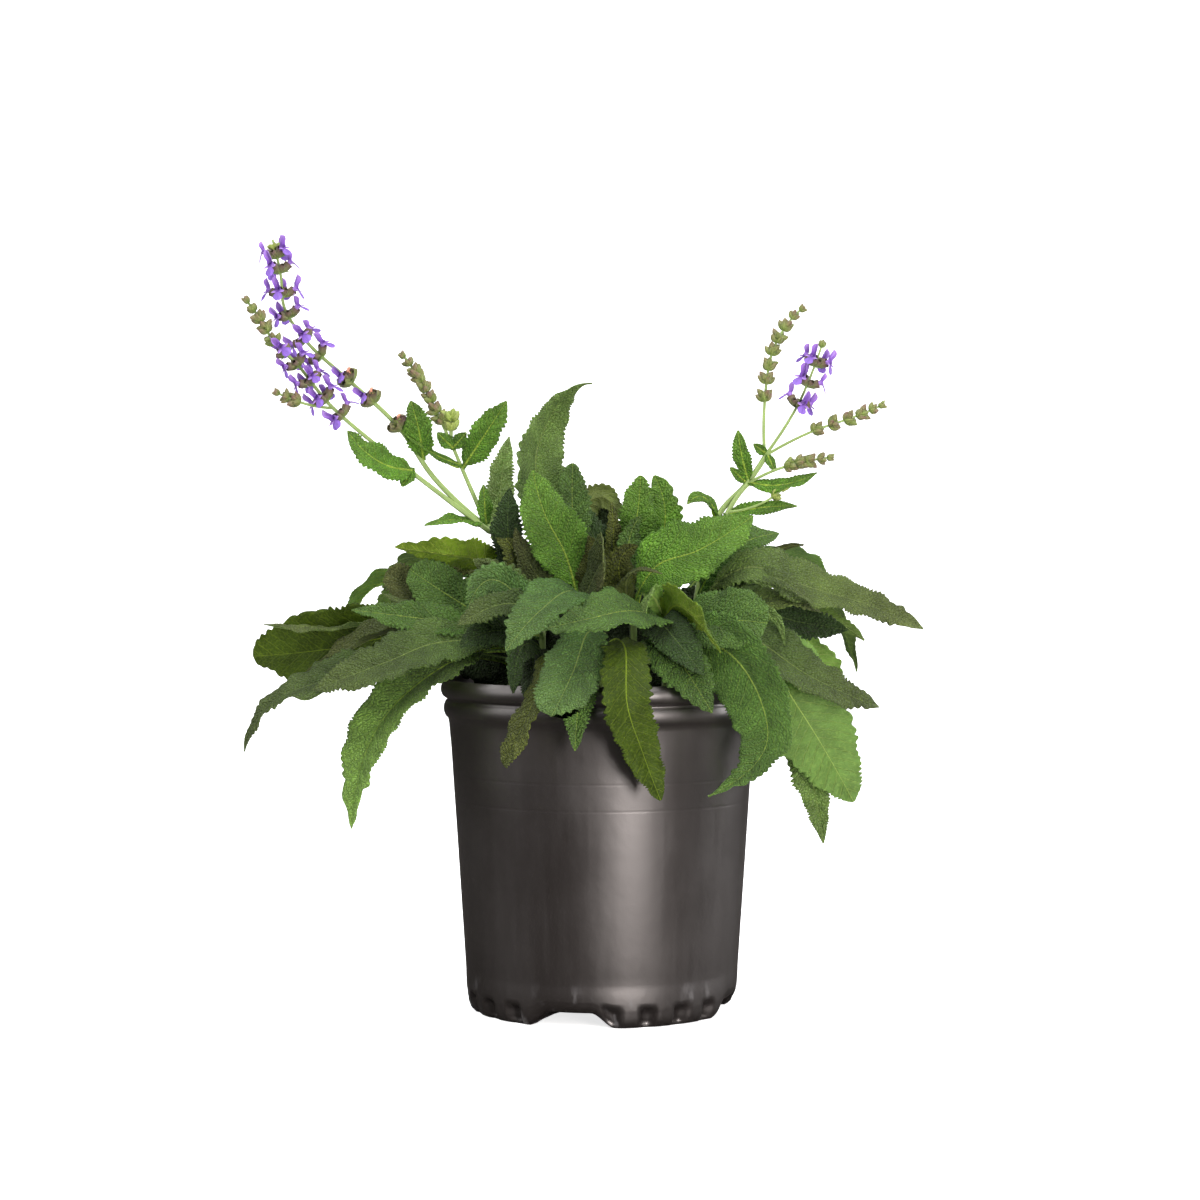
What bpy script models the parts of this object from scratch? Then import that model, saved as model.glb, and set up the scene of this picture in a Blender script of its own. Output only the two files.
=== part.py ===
# Perennial salvia in its black nursery pot. Metres, +Z up, on z = 0, with the pot's axis at x = y = 0.
# The pot, the potting soil, ten leafy shoots of the rosette and two flowering stems are separate pieces.
# Front is -Y. Lengths in the tables below are millimetres, and MM turns them into metres.

import math
import random

import bmesh
import bpy
import numpy as np
from mathutils import Matrix, Vector

MM = 0.001

# Pot: a blow-moulded trade gallon can with two beads round its rim.
RIM_RADIUS = 82.5
POT_HEIGHT = 169.0
BODY_TOP_RADIUS = 78.3
BASE_RADIUS = 68.6
BODY_TOP = 148.0
BEAD_HEIGHT = 9.5
BEAD_ROUND = 2.5
SECOND_BEAD_STEP = 1.5
GROOVE = 2.2
WALL = 1.6
FLOOR_TOP = WALL + 8
FOOT_RADIUS = 64.0
CORNER = ((14.0, 0.0), (5.0, 0.4), (1.5, 1.8))  # heights down the foot's corner, and how far it draws in
POT_SIDES = 32
ARCH_WIDTH = 42.0
ARCH_HEIGHT = 7.5
ARCH_START = 22.0
ARCH_TURNS = (-13.0, 77.0, 167.0, 257.0)
SLOT_WIDTH = 8.0
SLOT_HEIGHT = 9.5
SLOT_DEPTH = 7.0
SLOT_FOOT = 1.2
SLOT_TURNS = (-36.0, -54.0)

# Potting soil: it fills the pot to a little below the rim.
SOIL_GAP = 0.35
SOIL_RIM_HEIGHT = 155.0
SOIL_CROWN = 9.0
SOIL_SIDES = 16
SOIL_RINGS = 3
SOIL_LUMPS = 1.6
SOIL_SEED = 11
HOLE_CLEARANCE = 0.35
HOLE_SIDES = 6
HOLE_LENGTH = 60.0
HOLE_SINK = 0.4
SHOOT_CORNERS = 0.45  # a six-sided hole clears a stem's corners by this much more
STEM_CORNERS = 1.3
STEM_FOOT = 138.0

# Leaves: a thick stalk, a neck and a thin blade, with a wavy edge. Shares are of a leaf's length.
BLADE = 0.8
NECK_THICKNESS = 1.1
NECK_SHARE = 0.3
STALK_THICKNESS = 1.7
STALK_SHARE = 0.12
STALK_WIDTH = 2.6
BLADE_RISE = 0.55
TIP_SHARE = 0.93
TIP_HALF = 0.6
TOOTH = 0.10
TOOTH_SWELL = 0.3
EDGE_WAVE = 0.9
WAVE_TURN = 14
WAVE_HALF = 8
WAVE_MOST = 1.4
PLAIN_LEAF = dict(stalk=0.18, fold=12, blunt=0.8)
STEM_LEAF = dict(stalk=0.06, fold=14, blunt=0.75)
BACK_LEAF = dict(stalk=0.2, fold=14, blunt=0.75)
PHASE_STEP = 2.1
STEM_PHASE_STEP = 1.7
SHOOT_RADIUS = 2.6
SHOOT_TAPER = 0.8
STEM_LAYER = 20
STATION_PITCH = 24
BACK_PITCH = 34
STEM_LEAF_PITCH = 22
FEWEST_STATIONS = 5
MOST_STATIONS = 13
FOLDED_WIDTH = 14
SHARP_ANGLE = 35

# Where each leafy shoot leaves the soil, and the height at which its youngest leaf leaves the shoot.
SHOOTS = {
    "left": (-46, -4, 193),
    "left_front": (-30, -32, 193),
    "front": (0, -44, 192),
    "right_front": (32, -32, 197),
    "centre_left": (-12, -8, 204),
    "centre_right": (16, -4, 205),
    "right": (49, -4, 203),
    "back_left": (-34, 34, 205),
    "back": (6, 22, 210),
    "back_right": (38, 34, 205),
}

# One row for each leaf: the piece that it grows on, the height that it leaves it, its layer from the back
# of the plant to the front, its width, the way its upper side faces at mid-length, the points that its
# midrib passes from stalk to tip, and what is special about it. fold is the angle of each half of the blade,
# stalk the bare share of the length, and blunt a rounder tip.
LEAVES = [
    ("left", 176, 1, 41, (0.1, 0.85, 0.5), [(-104, 6, 190), (-140, 8, 184), (-180, 10, 180)],
     dict(stalk=0.3, blunt=0.5)),
    ("left", 190, 2, 20, (0, -0.12, 1), [(-107, -2, 198), (-144, -6, 194), (-172, -10, 197)],
     dict(stalk=0.35)),
    ("left", 184, 3, 22, (-0.1, -0.35, 1), [(-105, -14, 194), (-132, -20, 182), (-154, -24, 168)],
     dict(stalk=0.3, fold=32)),
    ("left", 178, 4, 26, (-0.45, -0.6, 0.7),
     [(-102, -16, 182), (-139, -26, 170), (-165, -32, 159), (-179, -34, 134)], dict(stalk=0.25)),
    ("left_front", 186, 7, 29, (-0.15, -0.75, 0.65), [(-81, -40, 189), (-106, -50, 180), (-143, -54, 166)],
     dict(stalk=0.2)),
    ("left_front", 181, 5, 29, (-0.6, -0.75, 0.35),
     [(-62, -36, 184), (-97, -44, 164), (-115, -48, 140), (-124, -50, 97)], dict(stalk=0.2, fold=20)),
    ("left", 192, 2, 23, (0, -0.9, 0.4), [(-82, 3, 207), (-111, 4, 223)], dict(blunt=0.4)),
    ("left", 193, 4, 26, (0.1, -0.85, 0.5), [(-73, -6, 208), (-98, -8, 225)], dict(blunt=0.4)),
    ("left_front", 191, 6, 19, (0, -0.75, 0.65), [(-79, -30, 199), (-125, -34, 205)], {}),
    ("left", 192, 5, 14, (0.35, -0.35, 0.85), [(-82, -20, 201), (-111, -24, 213)], {}),
    ("flower_left", 206, 2, 20, (0, 0.8, 0.55), [(-58, 10, 227), (-81, 7, 233), (-106, 4, 236)], {}),
    ("flower_left", 200, 1, 16, (0, -0.6, 0.8), [(-63, 14, 224), (-90, 15, 229)], {}),
    ("flower_left", 222, 2, 15, (-0.2, -0.95, 0.1), [(-53, 20, 253), (-48, 20, 293)], {}),
    ("flower_left", 214, 4, 17, (-0.3, -0.9, 0.2), [(-48, 8, 244), (-47, 7, 266)], {}),
    ("flower_left", 212, 4, 11, (0, -0.8, 0.5), [(-46, 9, 236), (-57, 8, 245)], {}),
    ("centre_left", 204, 6, 28, (0.1, -1, 0.1), [(-18, -14, 231), (-29, -18, 253), (-35, -14, 275)], {}),
    ("centre_left", 202, 3, 38, (0.75, -0.65, 0.1),
     [(-31, 2, 260), (-34, 4, 283), (-25, 6, 306), (-14, 7, 318), (-5, 6, 320)], dict(stalk=0.2, fold=34)),
    ("centre_left", 201, 4, 18, (0.2, -1, 0), [(-15, -2, 250), (-15, -1, 279)], dict(blunt=0.5)),
    ("centre_left", 200, 5, 13, (-0.4, -0.9, 0), [(-34, -8, 223), (-44, -6, 246)], {}),
    ("centre_left", 203, 8, 26, (0, -0.9, 0.5), [(1, -26, 229), (-2, -38, 213)], dict(stalk=0.1, blunt=0.4)),
    ("centre_left", 204, 7, 17, (-0.2, -0.9, 0.3), [(-3, -18, 229), (-7, -18, 242)],
     dict(stalk=0.1, fold=25)),
    ("back", 205, 1, 17, (0.1, 0.25, 1), [(-10, 26, 256), (0, 26, 262), (11, 22, 249)], {}),
    ("back", 208, 2, 19, (0.3, -0.9, 0.2), [(-2, 14, 237), (-14, 12, 257)], {}),
    ("back", 209, 3, 9, (0.2, -1, 0), [(6, 10, 240), (5, 9, 259)], {}),
    ("back", 208, 2, 19, (0, -1, 0.1), [(16, 16, 240), (20, 17, 273)], dict(blunt=0.6)),
    ("back", 206, 1, 18, (0.1, -1, 0.1), [(32, 22, 244), (27, 22, 273)], dict(blunt=0.6)),
    ("centre_right", 204, 3, 13, (0.2, -1, 0.1), [(14, 2, 240), (20, 2, 252)], {}),
    ("centre_right", 205, 7, 15, (0.1, -0.7, 0.7), [(9, -12, 229), (18, -14, 237)], dict(stalk=0.1)),
    ("centre_right", 200, 9, 10, (0, -0.5, 0.8), [(14, -26, 223), (30, -34, 223)], dict(stalk=0.1)),
    ("centre_right", 198, 8, 35, (-0.15, -0.85, 0.5), [(27, -18, 226), (49, -26, 235), (76, -24, 252)],
     dict(stalk=0.2)),
    ("flower_right", 206, 4, 18, (0, -0.8, 0.6), [(65, 2, 234), (91, 0, 243)], {}),
    ("flower_right", 200, 2, 8, (0, -0.6, 0.8), [(84, 10, 231), (104, 12, 237)], {}),
    ("right", 203, 6, 27, (0.1, -0.7, 0.7),
     [(73, -10, 226), (105, -16, 216), (135, -20, 207), (162, -22, 195)], dict(stalk=0.15)),
    ("right", 200, 7, 14, (0, -0.6, 0.8), [(80, -22, 222), (105, -28, 208)], {}),
    ("right", 196, 5, 17, (0, -0.5, 0.85), [(83, -14, 210), (111, -16, 203)], {}),
    ("right", 191, 4, 21, (0, -0.95, 0.3), [(80, -12, 202), (101, -12, 198), (125, -10, 194)], {}),
    ("right", 188, 2, 15, (0, 0.8, 0.6), [(102, 6, 203), (135, 8, 188)], {}),
    ("right", 180, 3, 22, (0.1, 0.75, 0.6), [(86, 4, 193), (108, 6, 181), (126, 6, 162)], {}),
    ("right", 182, 7, 27, (0.1, -0.75, 0.65), [(72, -38, 192), (101, -48, 174), (136, -52, 158)],
     dict(stalk=0.15)),
    ("right", 180, 6, 42, (-0.1, 0.95, 0.3),
     [(80, -30, 182), (95, -42, 160), (111, -48, 135), (125, -46, 110)], dict(stalk=0.2, blunt=0.65)),
    ("right", 177, 5, 20, (-0.4, -0.9, 0.2), [(84, -24, 174), (102, -36, 130), (111, -34, 88)],
     dict(stalk=0.3, fold=25)),
    ("right_front", 190, 8, 38, (-0.6, -0.75, 0.25),
     [(63, -58, 184), (77, -72, 162), (79, -82, 140), (51, -92, 117)],
     dict(stalk=0.15, fold=16, blunt=1.15)),
    ("right_front", 190, 10, 21, (0, -0.9, 0.45), [(29, -70, 199), (49, -86, 175)], dict(stalk=0.15)),
    ("right_front", 184, 9, 26, (-0.1, -0.95, 0.3), [(30, -68, 193), (42, -84, 175), (53, -88, 157)],
     dict(stalk=0.15)),
    ("right_front", 195, 11, 22, (0.1, 0.8, 0.6), [(39, -78, 208), (57, -92, 186)], dict(stalk=0.1)),
    ("right_front", 196, 9, 30, (0.1, -0.95, 0.3), [(56, -50, 201), (80, -60, 200)],
     dict(stalk=0.15, blunt=0.35)),
    ("right", 190, 8, 8, (-0.5, -0.8, 0), [(84, -44, 203), (90, -50, 188)], {}),
    ("right_front", 197, 12, 10, (-0.7, -0.6, 0.3), [(23, -70, 213), (21, -82, 197)], dict(stalk=0.1)),
    ("right_front", 197, 13, 29, (0, -0.75, 0.66), [(13, -60, 206), (-6, -80, 203), (-26, -90, 198)],
     dict(stalk=0.15)),
    ("front", 192, 10, 28, (-0.2, -0.85, 0.45), [(-13, -50, 214), (-30, -68, 206), (-46, -78, 187)],
     dict(stalk=0.15)),
    ("left_front", 182, 8, 13, (0.1, -1, 0.1), [(-40, -74, 186), (-43, -86, 166)], dict(stalk=0.25)),
    ("left_front", 178, 6, 13, (-0.1, -1, 0.1), [(-33, -66, 184), (-35, -86, 159)], dict(stalk=0.25)),
    ("front", 180, 8, 15, (-0.75, -0.6, 0.2), [(-22, -76, 187), (-32, -90, 165), (-47, -94, 132)],
     dict(stalk=0.2, blunt=0.25)),
    ("front", 187, 11, 27, (-0.1, -1, 0.2), [(-7, -82, 195), (-14, -98, 177), (-24, -100, 157)],
     dict(stalk=0.2, blunt=0.3)),
    ("front", 184, 9, 17, (0, -1, 0.1), [(-9, -88, 175), (-13, -94, 139)], dict(stalk=0.3, fold=30)),
    ("front", 183, 12, 22, (0, 1, 0.1), [(11, -84, 188), (12, -98, 162), (19, -100, 140), (28, -100, 116)],
     dict(stalk=0.15, blunt=0.6)),
    ("left_front", 192, 7, 18, (-0.1, -0.9, 0.4), [(-45, -22, 215), (-65, -22, 230)], {}),
    ("left_front", 193, 8, 17, (-0.2, -0.9, 0.35), [(-55, -30, 220), (-67, -38, 205)], dict(stalk=0.1)),
    ("left_front", 190, 9, 17, (0, -0.75, 0.65), [(-42, -46, 208), (-71, -56, 198)], {}),
    ("left_front", 185, 8, 16, (0, -0.9, 0.3), [(-53, -46, 195), (-70, -54, 187)], {}),
    ("centre_left", 172, 1, 27, (0, -1, 0.1), [(2, 2, 186), (15, 8, 206)], {}),
    ("centre_right", 168, 2, 27, (0, -1, 0.1), [(19, 0, 184), (30, 2, 204)], {}),
]

# Leaves of the hidden back, by rule: the shoot, the sector that they fan over, and how many.
BACK_FANS = (("back_left", 114, 162, 3), ("back", 78, 96, 2), ("back_right", 16, 62, 3))
BACK_LENGTH = (100, 128)
BACK_WIDTH = (24, 32)
BACK_PATH = ((0.45, 20), (0.8, 12), (1.0, -26))  # share of the length outward, and the rise there
BACK_LIFTS = (2, 16)
BACK_DROP = 12
BACK_STEP = 4
BACK_SEED = 7

# Flowering stems: each row is the piece, the two radii at foot and tip, and the points it passes.
STEMS = {
    "left_main": ("flower_left", 2.2, 2.0, [(-38, 14, 138), (-39, 14, 190), (-48, 15, 231), (-60, 14, 247)]),
    "left_tall": ("flower_left", 1.7, 0.7,
                  [(-58, 14, 245), (-86, 12, 271), (-104, 8, 297), (-128, 4, 320), (-150, 2, 340),
                   (-162, 0, 358), (-164, 0, 375), (-168, 0, 393)]),
    "left_second": ("flower_left", 1.6, 0.7,
                    [(-58, 13, 244), (-93, 2, 271), (-120, -2, 292), (-139, -4, 309), (-155, -6, 329),
                     (-167, -8, 341), (-173, -8, 351), (-181, -8, 362)]),
    "left_short": ("flower_left", 1.5, 1.0, [(-58, 14, 244), (-70, 18, 271), (-78, 17, 290)]),
    "left_short_spike": ("flower_left", 1.0, 0.7,
                         [(-78, 17, 289), (-84, 16, 303), (-96, 15, 326), (-103, 14, 335)]),
    "left_green_bud": ("flower_left", 1.0, 1.4, [(-78, 17, 289), (-78, 16, 304)]),
    "left_side_spike": ("flower_left", 0.9, 0.6, [(-138, -4, 307), (-151, -8, 309), (-166, -10, 315)]),
    "right_main": ("flower_right", 2.1, 1.6,
                   [(45, 15, 138), (45.5, 15, 175), (50, 15, 215), (60, 15, 252), (75, 14, 269),
                    (85, 13, 284)]),
    "right_twin": ("flower_right", 1.8, 1.4, [(48, 14, 190), (64, 11, 252), (76, 13, 269)]),
    "right_upright": ("flower_right", 1.0, 0.6,
                      [(84, 13, 283), (84, 14, 311), (88, 12, 337), (98, 11, 354), (104, 10, 359)]),
    "right_violet": ("flower_right", 1.0, 0.6, [(84, 13, 283), (100, 6, 308), (109, 4, 329), (113, 4, 341)]),
    "right_outer": ("flower_right", 1.0, 0.6, [(84, 13, 283), (107, 6, 295), (130, 2, 303), (144, 0, 309)]),
    "right_low_spike": ("flower_right", 1.0, 0.7, [(76, 13, 269), (93, 6, 277), (118, 2, 282)]),
    "right_pale_spike": ("flower_right", 0.9, 0.7, [(64, 11, 254), (81, 6, 258), (94, 4, 267)]),
}

# Whorls: distance below the tip of the stem, flowers in the ring, and open, calyx or bud.
WHORLS = {
    "left_tall": [(2, 3, "bud"), (9, 3, "open"), (17, 3, "open"), (30, 4, "open"), (41, 3, "open"),
                  (56, 3, "open"), (67, 2, "open"), (86, 3, "calyx"), (102, 3, "calyx"), (121, 3, "calyx")],
    "left_second": [(2, 3, "bud"), (7, 3, "bud"), (12, 3, "bud"), (18, 3, "bud"), (25, 3, "bud"),
                    (35, 2, "open"), (44, 3, "open"), (55, 4, "open"), (66, 4, "open"), (78, 3, "open")],
    "left_short_spike": [(1, 3, "bud"), (6, 3, "bud"), (11, 3, "bud"), (16, 3, "bud"), (21, 3, "bud"),
                         (27, 3, "bud"), (33, 3, "bud"), (39, 3, "calyx")],
    "left_green_bud": [(2, 3, "bud"), (7, 3, "bud")],
    "left_side_spike": [(2, 3, "bud"), (7, 3, "bud"), (12, 3, "bud")],
    "right_upright": [(2, 3, "bud"), (8, 3, "bud"), (14, 3, "bud"), (21, 3, "bud"), (28, 3, "bud"),
                      (36, 3, "bud"), (43, 3, "bud"), (52, 3, "calyx")],
    "right_violet": [(2, 3, "bud"), (13, 4, "open"), (24, 3, "open"), (36, 3, "open")],
    "right_outer": [(2, 3, "bud"), (7, 3, "bud"), (13, 3, "bud"), (20, 3, "bud"), (28, 3, "bud"),
                    (37, 3, "bud")],
    "right_low_spike": [(2, 3, "bud"), (7, 3, "bud"), (12, 3, "bud"), (17, 3, "bud"), (23, 3, "bud")],
    "right_pale_spike": [(2, 3, "bud"), (8, 3, "bud")],
}
WHORL_TURN = 0.9
CALYX_LENGTH = 5.5
CALYX_RADIUS = 1.7
BUD_LENGTH = 4.2
BUD_WAIST = 1.3
BUD_DROP = 1.6
COROLLA_LENGTH = 10.5
COROLLA_RADIUS = 1.2
CREST = 1.9
LIP_LENGTH = 7.5
LIP_WIDTH = 6.4
LIP_THICKNESS = 1.0

# Leaves on the flowering stems: the piece, the width, the way the upper side faces, and the points.
STEM_LEAVES = [
    ("flower_left", 17, (0.3, -0.8, 0.6), [(-96, 1, 275), (-114, -8, 280), (-129, -12, 295)]),
    ("flower_left", 14, (-0.1, -0.9, 0.2), [(-92, 11, 281), (-94, 6, 296), (-98, 4, 311)]),
    ("flower_left", 6, (0.2, -0.5, 0.8), [(-73, 18, 278), (-85, 10, 283), (-103, 5, 296)]),
    ("flower_left", 15, (0.2, -0.9, 0.3), [(-72, 18, 277), (-61, 12, 293), (-49, 8, 311)]),
    ("flower_left", 8, (-0.3, -0.8, 0), [(-97, 1, 276), (-102, -3, 267)]),
    ("flower_left", 7, (0, -0.9, 0.3), [(-77, 17, 287), (-85, 13, 295)]),
    ("flower_left", 7, (0, -0.9, 0.3), [(-77, 17, 287), (-70, 13, 295)]),
    ("flower_left", 10, (0.1, -0.4, 0.9), [(-60, 14, 247), (-74, 7, 250), (-91, 3, 247)]),
    ("flower_left", 8, (0.4, -0.8, 0), [(-60, 14, 246), (-61, 8, 268)]),
    ("flower_right", 9, (-0.3, -0.9, 0.1), [(76, 14, 270), (72, 9, 283), (70, 8, 296)]),
    ("flower_right", 5, (-0.3, -0.9, 0.1), [(75, 14, 269), (66, 10, 277)]),
    ("flower_right", 9, (0, -0.7, 0.7), [(76, 13, 269), (93, 4, 268), (110, 0, 274)]),
    ("flower_right", 8, (0.1, -0.8, 0.5), [(63, 12, 252), (80, 6, 256), (100, 4, 257)]),
    ("flower_right", 9, (-0.2, -0.6, 0.7), [(60, 15, 251), (51, 9, 262), (44, 7, 258)]),
    ("flower_right", 5, (0.3, -0.9, 0.2), [(85, 13, 284), (89, 9, 275)]),
    ("flower_right", 5, (-0.3, -0.9, 0.2), [(85, 13, 284), (78, 9, 289)]),
]

FOLIAGE_SOLVER = "MANIFOLD"  # EXACT takes minutes on nodes of a hundred small solids

# The layering: how far apart in depth the leaves pass, and how fast and how far they are bent for it.
LAYER_GAP = 2.4
LAYER_NEAR = 4.0
LAYER_ROUNDS = 90
LAYER_REACH = 22.0
LAYER_STATIONS = 15
LAYER_FIRST = 2
STEMS_LAYER = 2.5
STEM_ROOM = 2.5
MOST_PUSH = 6
PUSH_SHARE = 0.35
MOST_STEP = 3
ROOT_SHARE = 0.4
POT_SHARE = 0.3
POT_CLEARANCE = 4.0


def clear_scene():
    for existing in list(bpy.data.objects):
        bpy.data.objects.remove(existing, do_unlink=True)


def new_collection(name):
    collection = bpy.data.collections.new(name)
    bpy.context.scene.collection.children.link(collection)
    return collection


def plain_material(name, colour, roughness):
    material = bpy.data.materials.new(name)
    material.use_nodes = True
    shader = material.node_tree.nodes["Principled BSDF"]
    shader.inputs["Base Color"].default_value = (*colour, 1)
    shader.inputs["Roughness"].default_value = roughness
    shader.inputs["Metallic"].default_value = 0
    return material


def add_object(name, mesh, collection, material=None):
    made = bpy.data.objects.new(name, mesh)
    collection.objects.link(made)
    if material:
        mesh.materials.append(material)
    return made


def applied(made):
    """Puts the object's modifiers into its mesh."""
    graph = bpy.context.evaluated_depsgraph_get()
    mesh = bpy.data.meshes.new_from_object(made.evaluated_get(graph))
    made.modifiers.clear()
    made.data = mesh
    return made


def unit(vector):
    return vector / max(np.linalg.norm(vector), 1e-9)


def smooth_line(points, count):
    """A smooth curve through the points, sampled evenly along its length."""
    p = np.asarray(points, float)
    if len(p) == 2:
        return p[0] + (p[1] - p[0]) * np.linspace(0, 1, count)[:, None]
    t = np.concatenate([[0], np.cumsum(np.sqrt(np.linalg.norm(np.diff(p, axis=0), axis=1)))])
    slope = np.empty_like(p)
    for i in range(1, len(p) - 1):
        a, b = t[i] - t[i - 1], t[i + 1] - t[i]
        slope[i] = ((p[i] - p[i - 1]) / a * b + (p[i + 1] - p[i]) / b * a) / (a + b)
    slope[0] = 2 * (p[1] - p[0]) / (t[1] - t[0]) - slope[1]
    slope[-1] = 2 * (p[-1] - p[-2]) / (t[-1] - t[-2]) - slope[-2]
    fine = []
    for i in range(len(p) - 1):
        h = t[i + 1] - t[i]
        u = np.linspace(0, 1, 24, endpoint=i == len(p) - 2)[:, None]
        fine.append((2 * u**3 - 3 * u**2 + 1) * p[i] + (u**3 - 2 * u**2 + u) * h * slope[i]
                    + (3 * u**2 - 2 * u**3) * p[i + 1] + (u**3 - u**2) * h * slope[i + 1])
    fine = np.concatenate(fine)
    along = np.concatenate([[0], np.cumsum(np.linalg.norm(np.diff(fine, axis=0), axis=1))])
    at = np.linspace(0, along[-1], count)
    return np.stack([np.interp(at, along, fine[:, k]) for k in range(3)], 1)


def length_of(line):
    return float(np.linalg.norm(np.diff(line, axis=0), axis=1).sum())


def blade_frame(line, face):
    """Across and normal directions along a midrib, with the least twist, facing as asked at 60% of it."""
    along = np.gradient(line, axis=0)
    along /= np.linalg.norm(along, axis=1)[:, None]
    normal = np.zeros_like(line)
    middle = int(0.6 * (len(line) - 1))
    face = unit(np.asarray(face, float))
    normal[middle] = unit(face - (face @ along[middle]) * along[middle])
    for i in range(middle + 1, len(line)):
        normal[i] = unit(normal[i - 1] - (normal[i - 1] @ along[i]) * along[i])
    for i in range(middle - 1, -1, -1):
        normal[i] = unit(normal[i + 1] - (normal[i + 1] @ along[i]) * along[i])
    return np.cross(along, normal), normal


def half_widths(share, leaf):
    """Half the width along a blade: a bare stalk, then a lance shape, widest below its middle."""
    t = np.clip((share - leaf["stalk"]) / (1 - leaf["stalk"]), 0, 1)
    a, b = BLADE_RISE, leaf["blunt"]
    top = a / (a + b)
    outline = t**a * (1 - t) ** b / (top**a * (1 - top) ** b)
    return np.maximum(outline * leaf["width"] / 2, np.where(share < TIP_SHARE, STALK_WIDTH / 2, TIP_HALF))


def blade_surface(leaf, stations, across, teeth=0.0):
    """The middle surface of a blade as a grid of points, with its normals and the half widths."""
    line = smooth_line(leaf["points"], stations)
    side, normal = blade_frame(line, leaf["face"])
    share = np.linspace(0, 1, stations)
    half = half_widths(share, leaf)
    notch = np.where(np.arange(stations) % 2 == 1, 1 - teeth, 1 + TOOTH_SWELL * teeth)
    fold = math.radians(leaf["fold"])
    wave = EDGE_WAVE * np.sin(share * WAVE_TURN + leaf["phase"]) * np.clip(half / WAVE_HALF, 0, WAVE_MOST)
    grid = np.empty((stations, len(across), 3))
    for k, u in enumerate(across):
        out = half * notch * u * math.cos(fold)
        up = half * abs(u) * math.sin(fold) + wave * u * abs(u)
        grid[:, k] = line + side * out[:, None] + normal * up[:, None]
    return grid, normal, half


def stem_place(key, height, samples=60):
    """Where a flowering stem's main axis stands at a height."""
    points = STEMS[key][3]
    share = (height - points[0][2]) / (points[-1][2] - points[0][2])
    return smooth_line(points, samples)[int((samples - 1) * share)]


def make_leaf(row, index):
    piece, height, layer, width, face, points, more = row
    if piece in SHOOTS:
        x, y, _ = SHOOTS[piece]
    else:
        x, y, _ = stem_place({"flower_left": "left_main", "flower_right": "right_main"}[piece], height)
    leaf = dict(PLAIN_LEAF, piece=piece, layer=layer, width=width, face=face, phase=index * PHASE_STEP)
    leaf.update(more)
    leaf["points"] = [[float(x), float(y), float(height)]] + [[float(c) for c in point] for point in points]
    return leaf


def bend_clear(leaves, stems):
    """Bends the leaves of higher layers forward and those of lower layers back, until they pass."""
    across = (-1, 0, 1)
    knots = [np.linspace(0, 1, len(leaf["points"])) for leaf in leaves]
    drawn = [[point[1] for point in leaf["points"]] for leaf in leaves]
    share = np.repeat(np.linspace(0, 1, LAYER_STATIONS)[LAYER_FIRST:], len(across))
    lines = [smooth_line(points, 40) for points in stems]
    for _ in range(LAYER_ROUNDS):
        surfaces = [blade_surface(leaf, LAYER_STATIONS, across)[0] for leaf in leaves]
        grids = [surface[LAYER_FIRST:].reshape(-1, 3) for surface in surfaces]
        push = [np.zeros(len(k)) for k in knots]
        weight = [np.zeros(len(k)) for k in knots]

        def shift(which, points, amounts):
            for s, amount in zip(share[points], amounts):
                near = np.maximum(0, 1 - np.abs(knots[which] - s) * (len(knots[which]) - 1))
                push[which] += near * amount
                weight[which] += near

        for i, front in enumerate(leaves):
            for line in lines:
                gap = np.hypot(grids[i][:, None, 0] - line[None, :, 0],
                               grids[i][:, None, 2] - line[None, :, 2])
                sign = 1 if front["layer"] > STEMS_LAYER else -1
                depth = sign * (grids[i][:, None, 1] - line[None, :, 1]) + LAYER_GAP + STEM_ROOM
                bad = (gap < LAYER_NEAR) & (depth > 0)
                if bad.any():
                    shift(i, np.nonzero(bad)[0], -sign * np.minimum(depth[bad], MOST_PUSH))
            for j, behind in enumerate(leaves):
                if front["layer"] <= behind["layer"]:
                    continue
                if (grids[i].min(0) - LAYER_NEAR > grids[j].max(0))[[0, 2]].any():
                    continue
                if (grids[j].min(0) - LAYER_NEAR > grids[i].max(0))[[0, 2]].any():
                    continue
                gap = np.hypot(grids[i][:, None, 0] - grids[j][None, :, 0],
                               grids[i][:, None, 2] - grids[j][None, :, 2])
                depth = grids[i][:, None, 1] - grids[j][None, :, 1] + LAYER_GAP
                bad = (gap < LAYER_NEAR) & (depth > 0)
                if front["piece"] == behind["piece"]:
                    bad &= (share > ROOT_SHARE)[:, None] & (share > ROOT_SHARE)[None, :]
                a, b = np.nonzero(bad)
                if len(a):
                    amount = np.minimum(depth[bad], MOST_PUSH)
                    shift(i, a, -amount)
                    shift(j, b, amount)
            x, y, z = grids[i].T
            room = POT_CLEARANCE + RIM_RADIUS - np.hypot(x, y)
            by_pot = (z < POT_HEIGHT + POT_CLEARANCE) & (room > 0) & (y < 0)
            low = np.nonzero(by_pot & (share > POT_SHARE))[0]
            if len(low):
                shift(i, low, -np.minimum(room[low], MOST_PUSH))
        for leaf, move, total, depths in zip(leaves, push, weight, drawn):
            step = np.clip(PUSH_SHARE * move / np.maximum(total, 1e-6), -MOST_STEP, MOST_STEP)
            for point, dy, depth in zip(leaf["points"][1:], step[1:], depths[1:]):
                point[1] = float(np.clip(point[1] + dy, depth - LAYER_REACH, depth + LAYER_REACH))


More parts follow.
